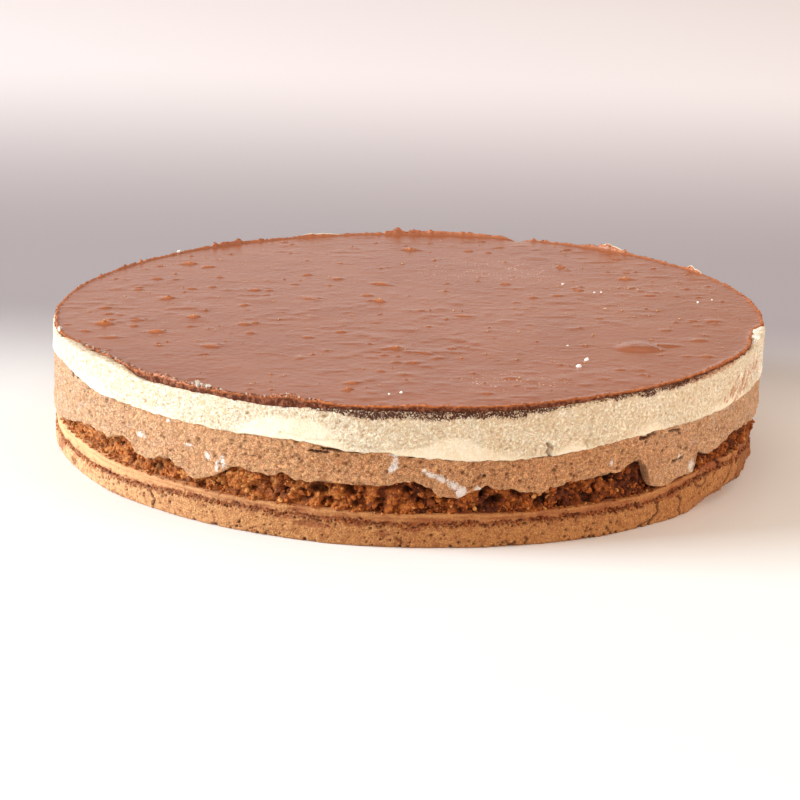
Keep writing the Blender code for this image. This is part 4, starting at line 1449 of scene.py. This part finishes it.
even = grid_points(-RING, RING, -RING, RING, EVEN_SPACING)
keep = within(even, 0.6)
fine_points = np.empty((0, 2))
busy = [(x, y, 0.75 * width) for x, y, width, tall in bumps if tall > BUSY]
busy.append((BLISTER[0] + 3, BLISTER[1], 15))
for x, y, reach in busy:
    patch = grid_points(x - reach, x + reach, y - reach, y + reach, FINE_SPACING)
    patch = patch[np.hypot(patch[:, 0] - x, patch[:, 1] - y) < reach]
    free = np.hypot(fine_points[:, 0] - x, fine_points[:, 1] - y) > reach + 0.4 * FINE_SPACING
    fine_points = np.concatenate([fine_points[free], patch])
    keep &= np.hypot(even[:, 0] - x, even[:, 1] - y) > reach + 0.5 * EVEN_SPACING
fine_points = fine_points[within(fine_points, 0.3)]

rim_points = np.stack([rim_x.ravel(), rim_y.ravel()], -1)
flat_points = np.concatenate([rim_points, even[keep], fine_points])
boundary = [(column, (column + 1) % COLUMNS) for column in range(COLUMNS)]
_, _, top_faces, _, _, _ = delaunay_2d_cdt([Vector(point) for point in flat_points], boundary, [], 1, 1e-4)
print("glaze top", len(flat_points), "points", len(top_faces), "faces")

# %% [markdown]
# The flat points are now lifted by the relief, and at the rim by the burr. Rows of the side and of the
# underside close the mesh below.

# %% Glaze mesh
SIDE_ROWS = 6

relief, nutty = glaze_relief(flat_points[:, 0], flat_points[:, 1])
rim_fade = np.clip(np.array(RIM_OFFSETS)[:, None] / RIM_OFFSETS[-1], 0, 1)
rim_height = np.array(RIM_RISE)[:, None] * burr + np.array(CLING_RISE)[:, None] * cling
rim_height = rim_height - notch * (1 - rim_fade)
relief[: rim_x.size] = (rim_height + rim_fade * relief[: rim_x.size].reshape(rim_x.shape)).ravel()
top_points = np.stack([
    flat_points[:, 0],
    flat_points[:, 1],
    top_height(flat_points[:, 0], flat_points[:, 1]) + relief,
], -1)

edge_height = top_points[:COLUMNS, 2]
foot = glaze_foot + 0.35 * ring_noise(2.6, 90) + 0.25 * ring_noise(1.1, 98)
foot = np.minimum(foot, edge_height - 0.5)
level = (np.arange(1, SIDE_ROWS + 1) / SIDE_ROWS)[:, None]
side_height = edge_height + level * (foot - edge_height)
face = turned(np.full_like(side_height, RING), side_height)
side_radius = glaze_edge + 0.16 * np.sin(math.pi * level) + 0.4 * noise(face, 1.3, 91)
under_radius = np.concatenate([side_radius, [glaze_edge - 0.8, np.full(COLUMNS, INNER)]])
under_height = np.concatenate([side_height, [foot - 0.05, top_at(INNER) - GLAZE_THICK]])
under_points = turned(under_radius, under_height).reshape(-1, 3)
under_rows = len(under_radius)

start = len(top_points)
sides = row_faces(under_rows, start)[:, ::-1].tolist()
middle = start + len(under_points)
last = start + (under_rows - 1) * COLUMNS
for here in range(COLUMNS):
    ahead = (here + 1) % COLUMNS
    sides.append((ahead, here, start + here, start + ahead))
    sides.append((last + here, middle, last + ahead))
points = np.concatenate([top_points, under_points, [[0, 0, middle_height - GLAZE_THICK]]])

# Marks for the shader: the crest of the rim, lit by painted orange light, the glaze's side under it, painted
# in shade, and cream that clings.
crest = np.zeros(len(points))
crest[: rim_x.size] = np.repeat(1 - smooth(np.array(RIM_OFFSETS), 0.3, 1.5), COLUMNS)
crest[start:middle] = np.concatenate([
    (1 - smooth(edge_height - side_height, 0.1, 0.55)).ravel(),
    np.zeros(2 * COLUMNS),
])
left_rim = 1 - 0.5 * swell(-130, 30)  # less of the crest's orange shows where crumbs cover it
crest[: rim_x.size] *= np.tile(left_rim, len(RIM_OFFSETS))
dark_side = np.zeros(len(points))
dark_side[start:middle] = 1 - crest[start:middle]
clinging = np.zeros(len(points))
clinging[: 2 * COLUMNS] = np.tile(creamy, 2)
clinging[start : start + 2 * COLUMNS] = np.tile(creamy, 2)
nutty = np.append(nutty, np.zeros(len(points) - start))
glaze_marks = {"nut": nutty, "crest": crest, "side": dark_side, "cream": clinging}
print("glaze is", round(top_points[:, 2].min(), 1), "to", round(top_points[:, 2].max(), 1), "mm high")

# %% [markdown]
# The glaze's brown is even, so its finish adds what lies in it: nuts that show through, partly as
# painted light on the bumps, a few whitish dots and dried dew in three patches. It adds painted light
# too, the orange of its thin crest, and painted shade on its side, which has a duller finish.

# %% Glaze finish
SPECKLED = ((35, 62, 34, 22), (88, 33, 30, 8), (33, -99, 22, 12))  # x, y and half widths of dewy patches


def dew_patches(place):
    """1 in the patches of the top where fine dew has dried, and 0 outside them."""
    dew = None
    for x, y, wide, deep in SPECKLED:
        inputs = {"Vector": place, "Location": (-x / wide, -y / deep, 0), "Scale": (1 / wide, 1 / deep, 0)}
        moved = place.node("Mapping", {}, inputs, output="Vector")
        spread_from = moved.node("VectorMath", {"operation": "LENGTH"}, {0: moved}, output="Value")
        patch = 1 - step(spread_from, 0.3, 1.3)
        dew = patch if dew is None else dew.maths("MAXIMUM", dew, patch)
    return dew


def glaze_finish(name, roughness, gloss):
    """The glaze's brown, with nuts showing through, painted orange light on the crest, painted shade on the
    side, and bits of cream on it.
    """
    finish, shader, place = new_finish(name)
    crest_mark = mark(place, "crest")
    dots = pores(place, 1.2, 0.5, 0.65) * step(cloud(place, 6.0), 0.35, 0.6) * dew_patches(place)
    shade = mixed(step(cloud(place, 1.3, 3.0), 0.45, 0.62), screen(76, 36, 22), screen(140, 84, 58))
    colour = coated(
        mottled(place, 30.0, (153, 88, 56), (147, 82, 50)),
        # Orange where nuts show through the thin glaze, partly painted light on the bumps.
        (step(mark(place, "nut"), 0.15, 1.0) * 0.65, (200, 114, 58)),
        (pores(place, 4.5, 0.35, 0.3) * 0.6, (214, 160, 118)),
        (dots * 0.9, (246, 220, 194)),
        # Painted light: orange along the thin crest of the rim.
        (crest_mark * 0.9, (206, 116, 56)),
        (step(cloud(place, 1.0, 3.0), 0.48, 0.62) * crest_mark * 0.75, (120, 60, 36)),
    )
    # Painted shade: the glaze's side is coloured dark brown.
    colour = mixed(mark(place, "side") * 0.92, colour, shade)
    clinging = step(mark(place, "cream") + (cloud(place, 0.8) - 0.5) * 0.8, 0.35, 0.55)
    colour = coated(colour, (clinging, (250, 240, 216)))
    relief = cloud(place, 2.4, 2.0) * 0.7 + dots * 0.3 + fine_grain(place, 0.6) * crest_mark
    complete(shader, place, colour, bump(place, relief, 0.22), {"Specular IOR Level": gloss})
    place.feed(shader.inputs["Roughness"], roughness + crest_mark * 0.25 + dots * 0.2)
    return finish


glossy = glaze_finish("glaze", 0.25, 0.6)
glaze_top = add_object("glaze_top", points, top_faces + sides, glossy, glaze_marks)
glaze_top.data.materials.append(glaze_finish("glaze_side", 0.6, 0.1))
on_sides = np.arange(len(glaze_top.data.polygons)) >= len(top_faces)
glaze_top.data.polygons.foreach_set("material_index", on_sides.astype(np.int32))
settle(glaze_top, "chocolate_glaze")

# %% [markdown]
# ## Small things on top
# Some nut pieces break through the glaze, and a few sugar crystals lie on it. Each is set at the
# glaze's own height, about half sunk. Crumbs of glaze and of cream stick to the raised rim, thickest at
# the left, where some are nearly white.

# %% Nut pieces and sugar
def on_glaze(x, y, sink):
    """Places on the glaze, sunk by so much."""
    rise, _ = glaze_relief(x, y)
    return np.stack([x, y, top_height(x, y) + rise - sink], -1)


draw = np.random.default_rng(92)
GLAZED_NUTS = ((0.0, (190, 110, 68)), (0.5, (226, 156, 100)), (1.0, (250, 212, 158)))
finish = crumb_finish("glazed_nuts", GLAZED_NUTS, (176, 104, 72), 0.35)
chosen = np.array([(x, y) for x, y, width, tall in BUMPS if tall > 0.75])
scattered = bumps[len(BUMPS):, :2]
at = np.concatenate([chosen, scattered])
size = np.concatenate([draw.uniform(0.7, 1.2, len(chosen)), 0.2 + 0.42 * draw.random(len(scattered)) ** 2])
nut_places = on_glaze(at[:, 0], at[:, 1], 0.55 * size)
glaze_nuts = add_lumps("glaze_nuts", nut_places, size, draw.random(len(at)), finish, 93, 2, 0.2, 0.4)
settle(glaze_nuts, "chocolate_glaze")

finish, shader, place = new_finish("sugar")
relief = bump(place, cloud(place, 0.5, 2.0), 0.1)
complete(shader, place, screen(248, 244, 238), relief, {"Roughness": 0.25})
SUGAR = (  # x, y and size in mm
    (60.6, -70.4, 0.95), (57.3, -78.8, 1.0), (-5.7, -114.2, 0.4), (-1.9, -112.3, 0.55), (70.4, 26.8, 0.5),
    (73.0, 26.9, 0.5), (59.2, 39.7, 0.5), (108.1, 12.6, 0.5), (113.9, 16.8, 0.4), (55.3, -52, 0.4),
)
sugar = np.array(SUGAR)
sugar_places = on_glaze(sugar[:, 0], sugar[:, 1], 0.0)
sizes, tones = sugar[:, 2], 0 * sugar[:, 2]
sugar_grains = add_lumps("sugar_grains", sugar_places, sizes, tones, finish, 94, 2, 0.14, 0.7)
settle(sugar_grains, "chocolate_glaze")

# %% Crumbs on the rim
RIM_TONES = ((0.0, (128, 72, 50)), (0.45, (188, 116, 84)), (0.75, (216, 164, 134)), (1.0, (255, 250, 236)))
finish = crumb_finish("rim_crumbs", RIM_TONES, (206, 160, 132))
AT_LEFT, ELSEWHERE = 420, 900
bearing = np.concatenate([draw.uniform(-153, -103, AT_LEFT), draw.uniform(-180, 180, ELSEWHERE)]) % 360
arc = np.radians(bearing) * RING
column = column_of(arc)
size = np.concatenate([0.2 + 0.36 * draw.random(AT_LEFT) ** 2, 0.14 + 0.22 * draw.random(ELSEWHERE) ** 2])
tones = np.concatenate([0.95 * draw.random(AT_LEFT) ** 1.3, 0.55 * draw.random(ELSEWHERE)])
offset = np.abs(draw.normal(0, 0.5, len(arc)))
rise = np.interp(offset, RIM_OFFSETS, RIM_RISE) * burr[column] - notch[column]
radius = glaze_edge[column] - offset
height = top_height(radius * np.cos(arc / RING), radius * np.sin(arc / RING)) + rise
places = turned(radius, height + 0.15 * size, arc / RING)
WHITE_CRUMBS = (  # bearing and size
    (-121.6, 1.35), (-120.9, 0.8), (-119.8, 1.1), (-122.5, 0.6), (-117.6, 0.5),
    (137, 0.8), (-163.8, 0.9),
)
for bearing, big in WHITE_CRUMBS:
    spot = int(round((bearing % 360) / 360 * COLUMNS)) % COLUMNS
    out = glaze_edge[spot] - 0.5
    turn = math.radians(bearing)
    x, y = out * math.cos(turn), out * math.sin(turn)
    places = np.append(places, [[x, y, top_height(x, y) + burr[spot] + 0.3 * big]], 0)
    size, tones = np.append(size, big), np.append(tones, 1.0)
rim_crumbs = add_lumps("rim_crumbs", places, size, tones, finish, 95)
settle(rim_crumbs, "chocolate_glaze")

# %% [markdown]
# ## Sizes
# Both boxes, the solids' and the visual model's, are gathered, and the visual model's size is printed.

# %% Sizes, and the end
bpy.context.view_layer.update()
sizes = {"solids": [list(solid_low), list(solid_high)], "visual": [list(corner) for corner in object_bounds()]}
print("visual, in mm:", [round(MM * (high - low), 1) for low, high in zip(*sizes["visual"])])
